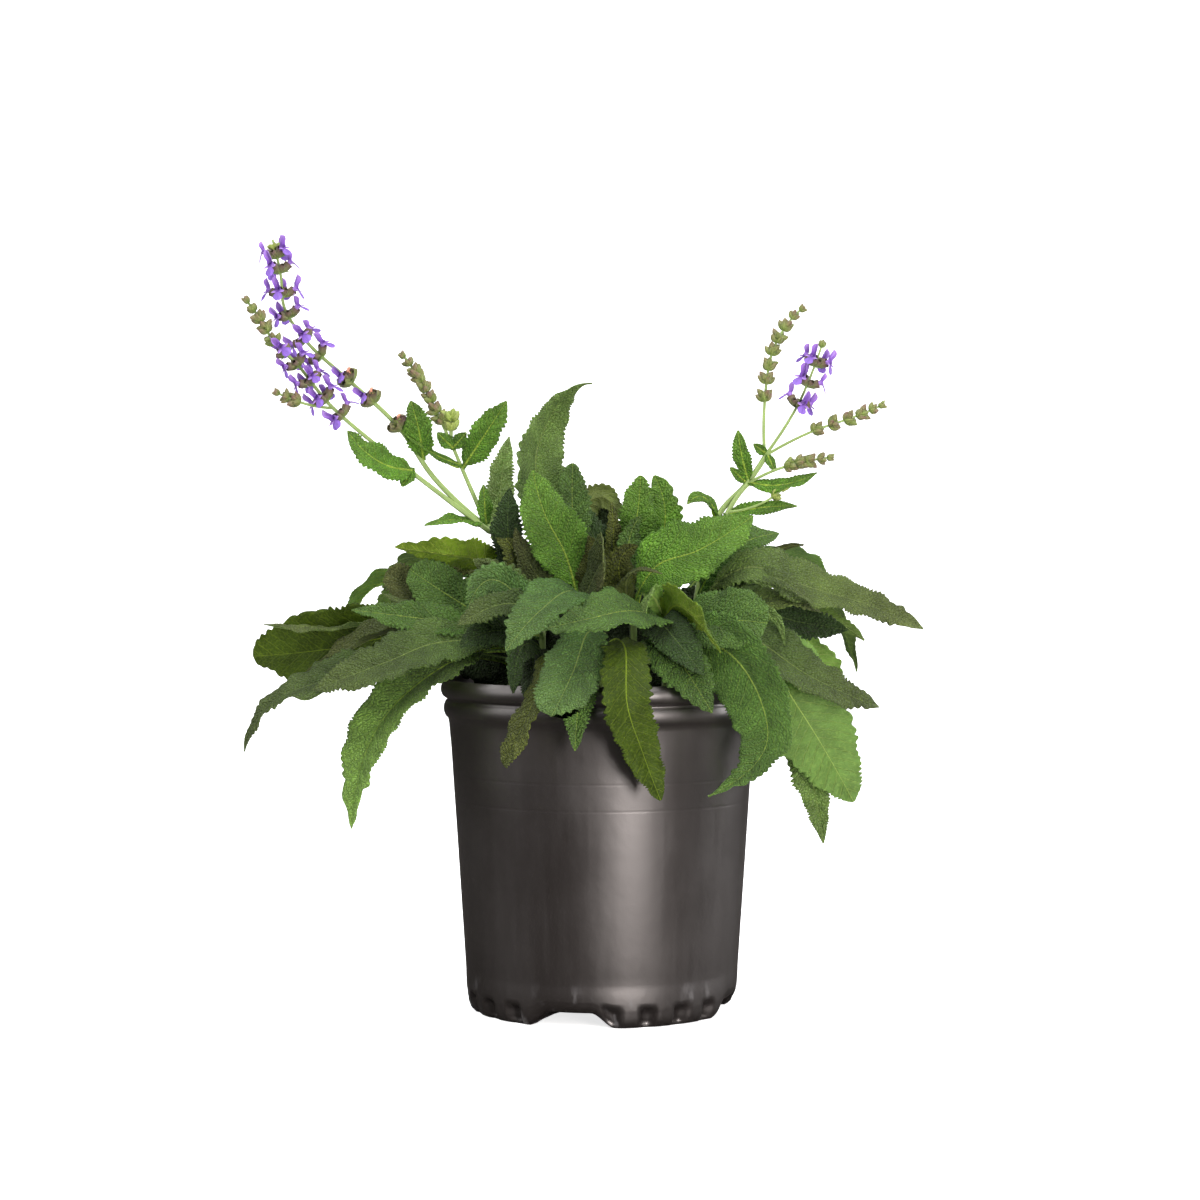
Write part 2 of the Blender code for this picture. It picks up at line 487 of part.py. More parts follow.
def back_leaves(first_index):
    """The fan of leaves behind the plant, which the photograph hides."""
    draw = random.Random(BACK_SEED)
    made = []
    for piece, start, end, count in BACK_FANS:
        x, y, top = SHOOTS[piece]
        for k in range(count):
            turn = math.radians(start + (end - start) * k / max(count - 1, 1))
            length = draw.uniform(*BACK_LENGTH)
            lift = BACK_LIFTS[k % 2]
            out = Vector((math.cos(turn), math.sin(turn)))
            height = top - BACK_DROP + BACK_STEP * (k % 3)
            path = [[x + out.x * length * share, y + out.y * length * share, height + rise + lift]
                    for share, rise in BACK_PATH]
            leaf = dict(BACK_LEAF, piece=piece, layer=0, width=draw.uniform(*BACK_WIDTH),
                        face=(out.x * 0.3, out.y * 0.3, 1), phase=(first_index + len(made)) * PHASE_STEP)
            leaf["points"] = [[float(x), float(y), float(height)]] + path
            made.append(leaf)
    return made


def blade_mesh(leaf, name):
    """A closed thin blade, split into triangles alike on both faces, and folded unless it is narrow."""
    pitch = {STEM_LAYER: STEM_LEAF_PITCH, 0: BACK_PITCH}.get(leaf["layer"], STATION_PITCH)
    wanted = FEWEST_STATIONS + length_of(np.asarray(leaf["points"])) / pitch
    stations = int(np.clip(wanted, FEWEST_STATIONS, MOST_STATIONS)) | 1
    across = (-1, 0, 1) if leaf["width"] >= FOLDED_WIDTH else (-1, 1)
    grid, normal, _ = blade_surface(leaf, stations, across, TOOTH)
    share = np.linspace(0, 1, stations)
    thick = np.where(share < NECK_SHARE, NECK_THICKNESS, BLADE)
    thick = np.where(share < STALK_SHARE, STALK_THICKNESS, thick)
    upper = grid + normal[:, None] * (thick / 2)[:, None, None]
    lower = grid - normal[:, None] * (thick / 2)[:, None, None]
    points = np.concatenate([upper, lower], 1).reshape(-1, 3) * MM
    n = len(across)
    faces = []
    for i in range(stations - 1):
        a, b = 2 * n * i, 2 * n * (i + 1)
        for k in range(n - 1):
            faces += [(a + k, b + k, b + k + 1), (a + k, b + k + 1, a + k + 1)]
            faces += [(a + n + k, b + n + k + 1, b + n + k), (a + n + k, a + n + k + 1, b + n + k + 1)]
        right = n - 1
        faces += [(a, a + n, b + n), (a, b + n, b)]
        faces += [(a + right, b + right, b + n + right), (a + right, b + n + right, a + n + right)]
    last = 2 * n * (stations - 1)
    for k in range(n - 1):
        faces += [(k, k + 1, k + n + 1), (k, k + n + 1, k + n)]
        faces += [(last + k, last + k + n + 1, last + k + 1), (last + k, last + k + n, last + k + n + 1)]
    mesh = bpy.data.meshes.new(name)
    mesh.from_pydata([tuple(p) for p in points], [], faces)
    outward(mesh)
    return mesh


def outward(mesh):
    shape = bmesh.new()
    shape.from_mesh(mesh)
    bmesh.ops.recalc_face_normals(shape, faces=shape.faces)
    if shape.calc_volume(signed=True) < 0:
        bmesh.ops.reverse_faces(shape, faces=shape.faces)
    shape.to_mesh(mesh)
    shape.free()


def stem_object(name, points, foot_radius, tip_radius, collection, sides=0, count=12):
    """A square salvia stem: a curve with a bevel, then a closed mesh."""
    line = smooth_line(points, count) * MM
    curve = bpy.data.curves.new(name, "CURVE")
    curve.dimensions = "3D"
    curve.bevel_depth = MM
    curve.bevel_resolution = sides
    curve.use_fill_caps = True
    spline = curve.splines.new("POLY")
    spline.points.add(count - 1)
    for i, place in enumerate(line):
        spline.points[i].co = (*place, 1)
        spline.points[i].radius = foot_radius + (tip_radius - foot_radius) * i / (count - 1)
    drawn = bpy.data.objects.new(name + "_line", curve)
    collection.objects.link(drawn)
    graph = bpy.context.evaluated_depsgraph_get()
    mesh = bpy.data.meshes.new_from_object(drawn.evaluated_get(graph))
    bpy.data.objects.remove(drawn, do_unlink=True)
    shape = bmesh.new()
    shape.from_mesh(mesh)
    bmesh.ops.remove_doubles(shape, verts=shape.verts, dist=1e-6)
    bmesh.ops.triangulate(shape, faces=shape.faces)
    shape.to_mesh(mesh)
    shape.free()
    outward(mesh)
    return add_object(name, mesh, collection)


def solid_from(points, faces, name, collection):
    """A closed mesh from points in millimetres."""
    mesh = bpy.data.meshes.new(name)
    mesh.from_pydata([tuple(Vector(p) * MM) for p in points], [], faces)
    outward(mesh)
    return add_object(name, mesh, collection)


def bud_ring(place, stem_way, start, count, kind, name, collection):
    """One whorl of buds or empty calyces as a star: a point for each bud, drawn in between them."""
    reach = BUD_LENGTH if kind == "bud" else CALYX_LENGTH
    points = [place - stem_way * BUD_DROP, place + stem_way * reach * 0.55]
    for k in range(2 * count):
        out = Matrix.Rotation(math.pi * k / count, 3, stem_way) @ start
        bud = (out + stem_way * 0.6) * reach * 0.85
        points.append(place + (out * BUD_WAIST if k % 2 else bud))
    faces = []
    for k in range(2 * count):
        here, after = 2 + k, 2 + (k + 1) % (2 * count)
        faces += [(0, after, here), (1, here, after)]
    solid_from(points, faces, name, collection)


def open_flower(place, stem_way, out, size, name, collection):
    """One open flower in one piece: a bell calyx, an arched hood over it and a wide lower lip."""
    way = (out + stem_way * 0.7).normalized()
    side = way.cross(stem_way).normalized()
    up = side.cross(way).normalized()
    hood_way = (way + stem_way * 0.1).normalized()
    lip_way = (out * 0.9 - stem_way * 0.5).normalized()
    lip_up = lip_way.cross(side).normalized()
    mouth = place + way * CALYX_LENGTH * size
    radius = CALYX_RADIUS * size
    hood = mouth + hood_way * COROLLA_LENGTH * 0.5
    lip = mouth + lip_way * LIP_LENGTH * 0.55
    crest = COROLLA_RADIUS * size
    width = LIP_WIDTH / 2 * size
    thin = LIP_THICKNESS / 2
    points = [place, mouth - side * radius, mouth + up * radius, mouth + side * radius, mouth - up * radius,
              mouth + hood_way * 1.2,
              hood - side * crest, hood + up * crest * CREST, hood + side * crest, hood - up * crest * 0.6,
              mouth + (hood_way - up * 0.12) * COROLLA_LENGTH * 0.95,
              lip - side * width, lip + lip_up * thin, lip + side * width, lip - lip_up * thin,
              mouth + lip_way * LIP_LENGTH]
    left, top, right, low, throat = 1, 2, 3, 4, 5
    faces = [(0, left, top), (0, top, right), (0, right, low), (0, low, left)]
    hood_root, hood_ring = (left, top, right, throat), (6, 7, 8, 9)
    lip_root, lip_ring = (left, throat, right, low), (11, 12, 13, 14)
    for root, ring, tip in ((hood_root, hood_ring, 10), (lip_root, lip_ring, 15)):
        for k in range(4):
            after = (k + 1) % 4
            faces += [(root[k], root[after], ring[after]), (root[k], ring[after], ring[k])]
            faces.append((ring[k], ring[after], tip))
    solid_from(points, faces, name, collection)


def whorls_of(key, collection):
    """The rings of flowers along one stem."""
    line = smooth_line(STEMS[key][3], 200)
    below = length_of(line) - np.concatenate([[0], np.cumsum(np.linalg.norm(np.diff(line, axis=0), axis=1))])
    for number, (distance, count, kind) in enumerate(WHORLS[key]):
        index = int(np.argmin(np.abs(below - distance)))
        ahead = Vector(line[min(index + 3, 199)] - line[max(index - 3, 0)]).normalized()
        across = ahead.cross(Vector((0.3, -1, 0.2))).normalized()
        start = Matrix.Rotation(WHORL_TURN * number, 3, ahead) @ across
        place = Vector(line[index])
        if kind != "open":
            bud_ring(place, ahead, start, count, kind, f"{key}_{number}", collection)
            continue
        for k in range(count):
            out = Matrix.Rotation(2 * math.pi * k / count, 3, ahead) @ start
            size = 1 + 0.04 * ((number * 3 + k * 5) % 4 - 1.5)
            foot = place + out * 0.25 + ahead * 0.17 * k
            open_flower(foot, ahead, out, size, f"{key}_{number}_{k}", collection)


def fused(base, others):
    """Joins a collection of solids to one object, and removes them."""
    join = base.modifiers.new("Join", "BOOLEAN")
    join.operation = "UNION"
    join.operand_type = "COLLECTION"
    join.collection = others
    join.solver = FOLIAGE_SOLVER
    applied(base)
    for used in list(others.objects):
        bpy.data.objects.remove(used, do_unlink=True)
    bpy.data.collections.remove(others)
    keep_largest_body(base.data)
    return base


def keep_largest_body(mesh):
    """Fills sealed hollows and drops loose scraps: only the outer surface of the main body stays."""
    shape = bmesh.new()
    shape.from_mesh(mesh)
    left = set(shape.verts)
    bodies = []
    while left:
        seed = left.pop()
        body, edge = {seed}, [seed]
        while edge:
            vert = edge.pop()
            for link in vert.link_edges:
                other = link.other_vert(vert)
                if other not in body:
                    body.add(other)
                    edge.append(other)
        left -= body
        bodies.append(body)
    bodies.sort(key=len)
    for body in bodies[:-1]:
        bmesh.ops.delete(shape, geom=list(body), context="VERTS")
    bmesh.ops.triangulate(shape, faces=shape.faces)
    shape.to_mesh(mesh)
    shape.free()
    mesh.shade_smooth()
    mesh.set_sharp_from_angle(angle=math.radians(SHARP_ANGLE))


def turned(name, profile, sides, collection):
    """A profile of (radius, height) in millimetres, down the outside and up the inside, turned about Z."""
    mesh = bpy.data.meshes.new(name)
    pieces = [(i, i + 1) for i in range(len(profile) - 1)]
    mesh.from_pydata([(r * MM, 0, z * MM) for r, z in profile], [], pieces)
    made = add_object(name, mesh, collection)
    screw = made.modifiers.new("Turn", "SCREW")
    screw.axis = "Z"
    screw.angle = 2 * math.pi
    screw.steps = sides
    screw.render_steps = sides
    screw.use_merge_vertices = True
    screw.merge_threshold = 0.00005
    return applied(made)


def outer_radius(height):
    """The pot's outer wall below the beads."""
    return BASE_RADIUS + (BODY_TOP_RADIUS - BASE_RADIUS) * height / BODY_TOP


def inner_radius(height):
    return outer_radius(height) - WALL


def box_cutter(name, size, place, turn, collection):
    bpy.ops.mesh.primitive_cube_add(size=1)
    cutter = bpy.context.object
    cutter.name = name
    for holder in list(cutter.users_collection):
        holder.objects.unlink(cutter)
    collection.objects.link(cutter)
    spin = Matrix.Rotation(math.radians(turn), 4, "Z")
    scale = Matrix.Diagonal((*(Vector(size) * MM), 1))
    cutter.data.transform(spin @ Matrix.Translation(Vector(place) * MM) @ scale)
    cutter.hide_render = True
    cutter.display_type = "WIRE"
    return cutter


def build_pot(parts, cutters):
    """Blow-moulded pot: two rolled beads, a tapering wall, feet between four arches, and drain slots."""
    top = POT_HEIGHT
    second = RIM_RADIUS - SECOND_BEAD_STEP
    between = top - BEAD_HEIGHT
    low = top - 2 * BEAD_HEIGHT
    corner_top, corner_middle, corner_foot = CORNER
    outside = [(RIM_RADIUS - WALL, top), (RIM_RADIUS, top - BEAD_ROUND), (RIM_RADIUS, between + BEAD_ROUND),
               (RIM_RADIUS - GROOVE, between), (second, between - 2), (second, low + 1.5),
               (BODY_TOP_RADIUS, BODY_TOP), (outer_radius(corner_top[0]), corner_top[0]),
               (BASE_RADIUS - corner_middle[1], corner_middle[0]),
               (BASE_RADIUS - corner_foot[1], corner_foot[0]), (FOOT_RADIUS, 0), (0, 0)]
    inside = [(0, FLOOR_TOP), (FOOT_RADIUS - 2, FLOOR_TOP), (inner_radius(16), corner_top[0]),
              (inner_radius(BODY_TOP), BODY_TOP), (second - WALL, low + 2), (second - WALL, top - 2),
              (RIM_RADIUS - WALL, top)]
    pot = turned("pot", outside + inside, POT_SIDES, parts)
    outward(pot.data)
    arch_size = (ARCH_WIDTH, BASE_RADIUS, ARCH_HEIGHT)
    arch_place = (0, -(ARCH_START + BASE_RADIUS / 2), ARCH_HEIGHT / 2 - 0.01)
    slot_size = (SLOT_WIDTH, SLOT_DEPTH * 2, SLOT_HEIGHT)
    slot_place = (0, -BASE_RADIUS, SLOT_FOOT + SLOT_HEIGHT / 2)
    for number, turn in enumerate(ARCH_TURNS):
        box_cutter(f"arch_{number}", arch_size, arch_place, turn, cutters)
        for step, slot in enumerate(SLOT_TURNS):
            box_cutter(f"slot_{number}_{step}", slot_size, slot_place, turn - slot, cutters)
    cut = pot.modifiers.new("Drainage", "BOOLEAN")
    cut.operation = "DIFFERENCE"
    cut.operand_type = "COLLECTION"
    cut.collection = cutters
    applied(pot)
    for used in list(cutters.objects):
        bpy.data.objects.remove(used, do_unlink=True)
    pot.data.materials.clear()
    pot.data.materials.append(plain_material("pot_plastic", (0.035, 0.03, 0.03), 0.42))
    pot.data.shade_smooth()
    pot.data.set_sharp_from_angle(angle=math.radians(SHARP_ANGLE))
    return pot


def build_soil(parts, cutters, stems):
    """Potting soil, mounded towards the middle, with a plain hole for every shoot and stem."""
    gap = SOIL_GAP
    edge = RIM_RADIUS - SECOND_BEAD_STEP - WALL - gap
    top = [(edge * (1 - i / SOIL_RINGS),
            SOIL_RIM_HEIGHT + SOIL_CROWN * math.sin(math.pi / 2 * i / SOIL_RINGS) ** 1.2)
           for i in range(SOIL_RINGS, 0, -1)]
    profile = top + [(edge, SOIL_RIM_HEIGHT - 1.5), (inner_radius(BODY_TOP) - gap, BODY_TOP),
                     (inner_radius(16) - gap, CORNER[0][0] + gap), (FOOT_RADIUS - 2, FLOOR_TOP + gap),
                     (0, FLOOR_TOP + gap)]
    soil = turned("potting_soil", profile, SOIL_SIDES, parts)
    outward(soil.data)
    draw = random.Random(SOIL_SEED)
    for vert in soil.data.vertices:
        if vert.co.z > (SOIL_RIM_HEIGHT - 4) * MM and math.hypot(vert.co.x, vert.co.y) < (edge - 4) * MM:
            vert.co.z += draw.uniform(-SOIL_LUMPS, SOIL_LUMPS) * MM
    hole_middle = STEM_FOOT - HOLE_SINK + HOLE_LENGTH / 2
    for number, (x, y, radius) in enumerate(stems):
        bpy.ops.mesh.primitive_cylinder_add(vertices=HOLE_SIDES, radius=radius * MM, depth=HOLE_LENGTH * MM,
                                            location=(x * MM, y * MM, hole_middle * MM))
        cutter = bpy.context.object
        cutter.name = f"hole_{number}"
        for holder in list(cutter.users_collection):
            holder.objects.unlink(cutter)
        cutters.objects.link(cutter)
        cutter.hide_render = True
        cutter.display_type = "WIRE"
    cut = soil.modifiers.new("Holes", "BOOLEAN")
    cut.operation = "DIFFERENCE"
    cut.operand_type = "COLLECTION"
    cut.collection = cutters
    applied(soil)
    for used in list(cutters.objects):
        bpy.data.objects.remove(used, do_unlink=True)
    soil.data.materials.clear()
    soil.data.materials.append(plain_material("soil", (0.03, 0.02, 0.014), 0.95))
    return soil


def build_shoot(name, leaves, parts, material):
    """A short leafy shoot: its stem with every leaf that grows on it."""
    x, y, top = SHOOTS[name]
    extra = bpy.data.collections.new(name + "_leaves")
    bpy.context.scene.collection.children.link(extra)
    stem = stem_object(name + "_shoot", [(x, y, STEM_FOOT), (x, y, (STEM_FOOT + top) / 2), (x, y, top + 2)],
                       SHOOT_RADIUS, SHOOT_RADIUS * SHOOT_TAPER, parts, sides=1, count=3)
    stem.data.materials.append(material)
    for number, leaf in enumerate(leaves):
        add_object(f"{name}_leaf_{number}", blade_mesh(leaf, name), extra)
    return fused(stem, extra)


def build_flowering(side, leaves, parts, material):
    """A flowering stem with its branches, leaves and whorls of flowers."""
    extra = bpy.data.collections.new(side + "_pieces")
    bpy.context.scene.collection.children.link(extra)
    base = None
    for key, (piece, foot, tip, points) in STEMS.items():
        if piece != side:
            continue
        made = stem_object(key, points, foot, tip, extra if base else parts, count=2 + len(points))
        if base is None:
            base = made
        if key in WHORLS:
            whorls_of(key, extra)
    for number, leaf in enumerate(leaves):
        add_object(f"{side}_leaf_{number}", blade_mesh(leaf, side), extra)
    base.name = {"flower_left": "flowering_stem_left", "flower_right": "flowering_stem_right"}[side]
    base.data.materials.append(material)
    return fused(base, extra)


def stem_leaf(row, index):
    piece, width, face, points = row
    return dict(STEM_LEAF, piece=piece, layer=STEM_LAYER, width=width, face=face,
                phase=index * STEM_PHASE_STEP, points=[[float(c) for c in point] for point in points])


def all_leaves():
    leaves = [make_leaf(row, index) for index, row in enumerate(LEAVES)]
    mains = [STEMS["left_main"][3], STEMS["right_main"][3], STEMS["right_twin"][3]]
    bend_clear(leaves, mains)
    leaves += back_leaves(len(leaves))
    leaves += [stem_leaf(row, index) for index, row in enumerate(STEM_LEAVES)]
    return leaves


def main():
    clear_scene()
    parts = new_collection("salvia_in_nursery_pot")
    cutters = new_collection("cutters")
    cutters.hide_render = True
    leaves = all_leaves()
    green = plain_material("leaf_green", (0.09, 0.17, 0.05), 0.6)
    pale_green = plain_material("stem_and_flower", (0.16, 0.2, 0.12), 0.6)
    build_pot(parts, cutters)
    holes = [(x, y, SHOOT_RADIUS + SHOOT_CORNERS + HOLE_CLEARANCE) for x, y, _ in SHOOTS.values()]
    for key in ("left_main", "right_main"):
        foot = STEMS[key][3][0]
        holes.append((foot[0], foot[1], STEMS[key][1] + STEM_CORNERS + HOLE_CLEARANCE))
    build_soil(parts, cutters, holes)
    for name in SHOOTS:
        shoot = build_shoot(name, [leaf for leaf in leaves if leaf["piece"] == name], parts, green)
        shoot.name = "leafy_shoot_" + name
    for side in ("flower_left", "flower_right"):
        build_flowering(side, [leaf for leaf in leaves if leaf["piece"] == side], parts, pale_green)
    bpy.data.collections.remove(cutters)


main()
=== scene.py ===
# Perennial salvia in its black nursery pot: the looks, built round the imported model.
# Metres, +Z up, the front is -Y. Lengths in the tables are millimetres, and MM turns them into metres.

import math
import random

import bmesh
import bpy
import numpy as np
from mathutils import Matrix, Vector, noise


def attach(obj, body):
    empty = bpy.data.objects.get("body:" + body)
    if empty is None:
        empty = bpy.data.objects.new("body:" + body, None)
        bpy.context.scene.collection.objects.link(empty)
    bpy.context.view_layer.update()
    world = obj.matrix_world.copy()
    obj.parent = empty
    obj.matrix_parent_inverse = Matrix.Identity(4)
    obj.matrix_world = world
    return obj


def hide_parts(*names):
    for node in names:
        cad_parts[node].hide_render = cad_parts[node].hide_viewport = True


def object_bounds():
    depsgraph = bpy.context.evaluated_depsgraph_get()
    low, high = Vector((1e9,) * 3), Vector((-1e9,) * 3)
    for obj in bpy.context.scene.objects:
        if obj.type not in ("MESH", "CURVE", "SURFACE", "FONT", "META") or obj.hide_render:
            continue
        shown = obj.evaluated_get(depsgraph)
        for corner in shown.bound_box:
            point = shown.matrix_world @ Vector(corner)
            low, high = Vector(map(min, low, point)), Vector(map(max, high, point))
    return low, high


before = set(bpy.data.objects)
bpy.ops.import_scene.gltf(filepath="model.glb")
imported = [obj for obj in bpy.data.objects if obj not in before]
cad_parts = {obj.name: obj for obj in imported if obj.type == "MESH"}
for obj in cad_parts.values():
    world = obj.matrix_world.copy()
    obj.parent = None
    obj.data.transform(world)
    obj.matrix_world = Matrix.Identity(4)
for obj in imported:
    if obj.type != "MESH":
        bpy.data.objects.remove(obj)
cad_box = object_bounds()
MM = 0.001


# Nursery pot
# One piece of black polyethylene, blow-moulded in a split mould. Its rim is two rolled beads, its wall
# tapers, and its foot is drawn up into four arches with flutes between them.

RIM_RADIUS = 82.5
POT_HEIGHT = 169.0
BODY_TOP_RADIUS = 78.3
BASE_RADIUS = 68.6
BODY_TOP = 148.0
BEAD_HEIGHT = 9.5
WALL = 1.6
FOOT_RADIUS = 64.0
POT_SIDES = 256
ARCH_TURNS = (-14.0, 76.0, 166.0, 256.0)
ARCH_HALF_TURN = 20.0
ARCH_SLOPE_TURN = 11.0
ARCH_HEIGHT = 7.5
FLUTE_PITCH = 15.4
FLUTE_DEPTH = 4.2
FLUTE_HALF_TURN = 3.9
FLUTE_TOP = 11.5
FLUTES_AFTER_ARCH = 41.1
SHAPED_HEIGHT = 24.0
SHAPED_RADIUS = 20.0
MOULD_RINGS = (120.9, 107.7)


def add_piece(name, mesh, materials):
    made = bpy.data.objects.new(name, mesh)
    bpy.context.scene.collection.objects.link(made)
    for material in materials:
        mesh.materials.append(material)
    return made


def ramp(value, low, high):
    """0 below low and 1 above high, smooth between."""
    t = min(max((value - low) / (high - low), 0.0), 1.0)
    return t * t * (3 - 2 * t)


def outer_radius(height):
    return BASE_RADIUS + (BODY_TOP_RADIUS - BASE_RADIUS) * height / BODY_TOP


def bead(radius, bulge, low, high, steps=9):
    """Points up one rolled bead."""
    made = []
    for i in range(steps + 1):
        share = i / steps
        made.append((radius + bulge * math.sin(math.pi * share) ** 0.55, low + (high - low) * share))
    return made


def pot_profile():
    """Radius and height, from the middle of the underside up the outside and down the inside."""
    top = POT_HEIGHT
    first, second = top - BEAD_HEIGHT, top - 2 * BEAD_HEIGHT + 0.6
    outside = [(0, 3.2), (20, 3.0), (44, 2.4), (FOOT_RADIUS - 9, 1.2), (FOOT_RADIUS - 4, 0.2),
               (FOOT_RADIUS, 0), (BASE_RADIUS - 2.6, 0.5), (BASE_RADIUS - 1.2, 1.8), (BASE_RADIUS - 0.5, 3.6)]
    outside += [(outer_radius(z) - 0.25 * (z < 8), z) for z in np.linspace(5.5, 22, 12)]
    outside += [(outer_radius(z), z) for z in np.linspace(26, BODY_TOP - 1.5, 22)]
    outside += bead(BODY_TOP_RADIUS + 0.5, 2.2, second - 1.2, first - 0.5)
    outside += bead(RIM_RADIUS - 2.3, 2.3, first + 0.2, top - 0.7)
    outside += [(RIM_RADIUS - 2.6, top - 0.1), (RIM_RADIUS - 3.1, top)]
    inside = [(RIM_RADIUS - 3.7, top - 0.3), (RIM_RADIUS - 4.0, top - 1.2), (RIM_RADIUS - 3.0, top - 4),
              (RIM_RADIUS - 3.0, top - 7), (RIM_RADIUS - 4.2, top - BEAD_HEIGHT),
              (RIM_RADIUS - 3.8, top - 12), (RIM_RADIUS - 3.9, top - 16), (BODY_TOP_RADIUS - WALL, BODY_TOP)]
    inside += [(outer_radius(z) - WALL, z) for z in (130, 100, 60, 20)]
    inside += [(FOOT_RADIUS - 4, WALL + 8), (0, WALL + 8)]
    return outside + inside


def shape_foot(mesh):
    """Draws the foot up into arches and pushes the flutes in, as the mould does."""
    for vert in mesh.vertices:
        height = vert.co.z / MM
        radius = math.hypot(vert.co.x, vert.co.y) / MM
        if height > SHAPED_HEIGHT or radius < SHAPED_RADIUS:
            continue
        turn = math.degrees(math.atan2(vert.co.x, -vert.co.y))
        for arch in ARCH_TURNS:
            away = abs((turn - arch + 180) % 360 - 180)
            lift = 1 - ramp(away, ARCH_HALF_TURN - ARCH_SLOPE_TURN, ARCH_HALF_TURN)
            vert.co.z += ARCH_HEIGHT * lift * (1 - ramp(height, 0, 20)) * ramp(radius, SHAPED_RADIUS, 50) * MM
            for step in (-1.5, -0.5, 0.5, 1.5):
                flute = arch + FLUTES_AFTER_ARCH + step * FLUTE_PITCH
                away = abs((turn - flute + 180) % 360 - 180)
                if away < FLUTE_HALF_TURN and radius > 60:
                    push = (1 - ramp(away, 0.55 * FLUTE_HALF_TURN, FLUTE_HALF_TURN)) * (
                        1 - ramp(height, FLUTE_TOP - 4, FLUTE_TOP)) * ramp(height, -0.5, 2.0)
                    keep = 1 - FLUTE_DEPTH * push / radius
                    vert.co.x *= keep
                    vert.co.y *= keep


def warp_wall(mesh):
    """The wall of a thin moulded pot is never quite round: broad shallow dents, deepest near its foot."""
    for vert in mesh.vertices:
        height = vert.co.z / MM
        if not 10 < height < 146:
            continue
        amount = noise.noise(Vector((vert.co.x * 16, vert.co.y * 16, vert.co.z * 20))) * 0.15
        amount -= 0.55 * math.exp(-((height - 21) / 5) ** 2) * max(0, -vert.co.y / (BASE_RADIUS * MM))
        shrink = 1 - max(0, 0.35 - amount * 0.6) * ramp(height, 10, 24) * (1 - ramp(height, 132, 146)) / 78
        vert.co.x *= shrink
        vert.co.y *= shrink


def feed(tree, socket, value):
    """Links a socket to another one, or sets it to a plain number or an (r, g, b)."""
    if isinstance(value, bpy.types.NodeSocket):
        tree.links.new(value, socket)
    else:
        socket.default_value = (*value, 1) if isinstance(value, tuple) else value


def node_math(tree, operation, *values):
    """A Math node fed by sockets or plain numbers."""
    made = tree.nodes.new("ShaderNodeMath")
    made.operation = operation
    for socket, value in zip(made.inputs, values):
        feed(tree, socket, value)
    return made.outputs[0]


def times(tree, first, second):
    """Math nodes by short names: this one, plus and less each take sockets or numbers."""
    return node_math(tree, "MULTIPLY", first, second)


def plus(tree, first, second):
    return node_math(tree, "ADD", first, second)


def less(tree, first, second):
    return node_math(tree, "SUBTRACT", first, second)


def node_range(tree, value, low, high, to_low=0.0, to_high=1.0):
    """Maps a socket from one range to another, clamped and smooth."""
    made = tree.nodes.new("ShaderNodeMapRange")
    made.interpolation_type = "SMOOTHSTEP"
    tree.links.new(value, made.inputs["Value"])
    for name, number in (("From Min", low), ("From Max", high), ("To Min", to_low), ("To Max", to_high)):
        made.inputs[name].default_value = number
    return made.outputs["Result"]


def node_mix(tree, factor, first, second, blend="MIX"):
    """Mixes two colours, each a socket or an (r, g, b)."""
    made = tree.nodes.new("ShaderNodeMix")
    made.data_type = "RGBA"
    made.blend_type = blend
    for number, value in ((0, factor), (6, first), (7, second)):
        feed(tree, made.inputs[number], value)
    return made.outputs[2]


def tinted(tree, first, second):
    """One colour multiplied by another, or by a number."""
    return node_mix(tree, 1.0, first, second, "MULTIPLY")


def node_noise(tree, vector, scale, detail=4.0, stretch=(1, 1, 1)):
    """Noise over a stretched vector."""
    mapping = tree.nodes.new("ShaderNodeMapping")
    mapping.inputs["Scale"].default_value = stretch
    tree.links.new(vector, mapping.inputs["Vector"])
    made = tree.nodes.new("ShaderNodeTexNoise")
    made.inputs["Scale"].default_value = scale
    made.inputs["Detail"].default_value = detail
    tree.links.new(mapping.outputs[0], made.inputs["Vector"])
    return made.outputs["Fac"]


def new_material(name, roughness, **constants):
    """A Principled material and its tree, with plain numbers on the shader's own sockets."""
    material = bpy.data.materials.new(name)
    material.use_nodes = True
    tree = material.node_tree
    shader = tree.nodes["Principled BSDF"]
    shader.inputs["Roughness"].default_value = roughness
    for socket, value in constants.items():
        shader.inputs[socket.replace("_", " ")].default_value = value
    return material, tree, shader


def bump(tree, shader, height, strength, distance):
    made = tree.nodes.new("ShaderNodeBump")
    made.inputs["Strength"].default_value = strength
    made.inputs["Distance"].default_value = distance
    tree.links.new(height, made.inputs["Height"])
    tree.links.new(made.outputs["Normal"], shader.inputs["Normal"])


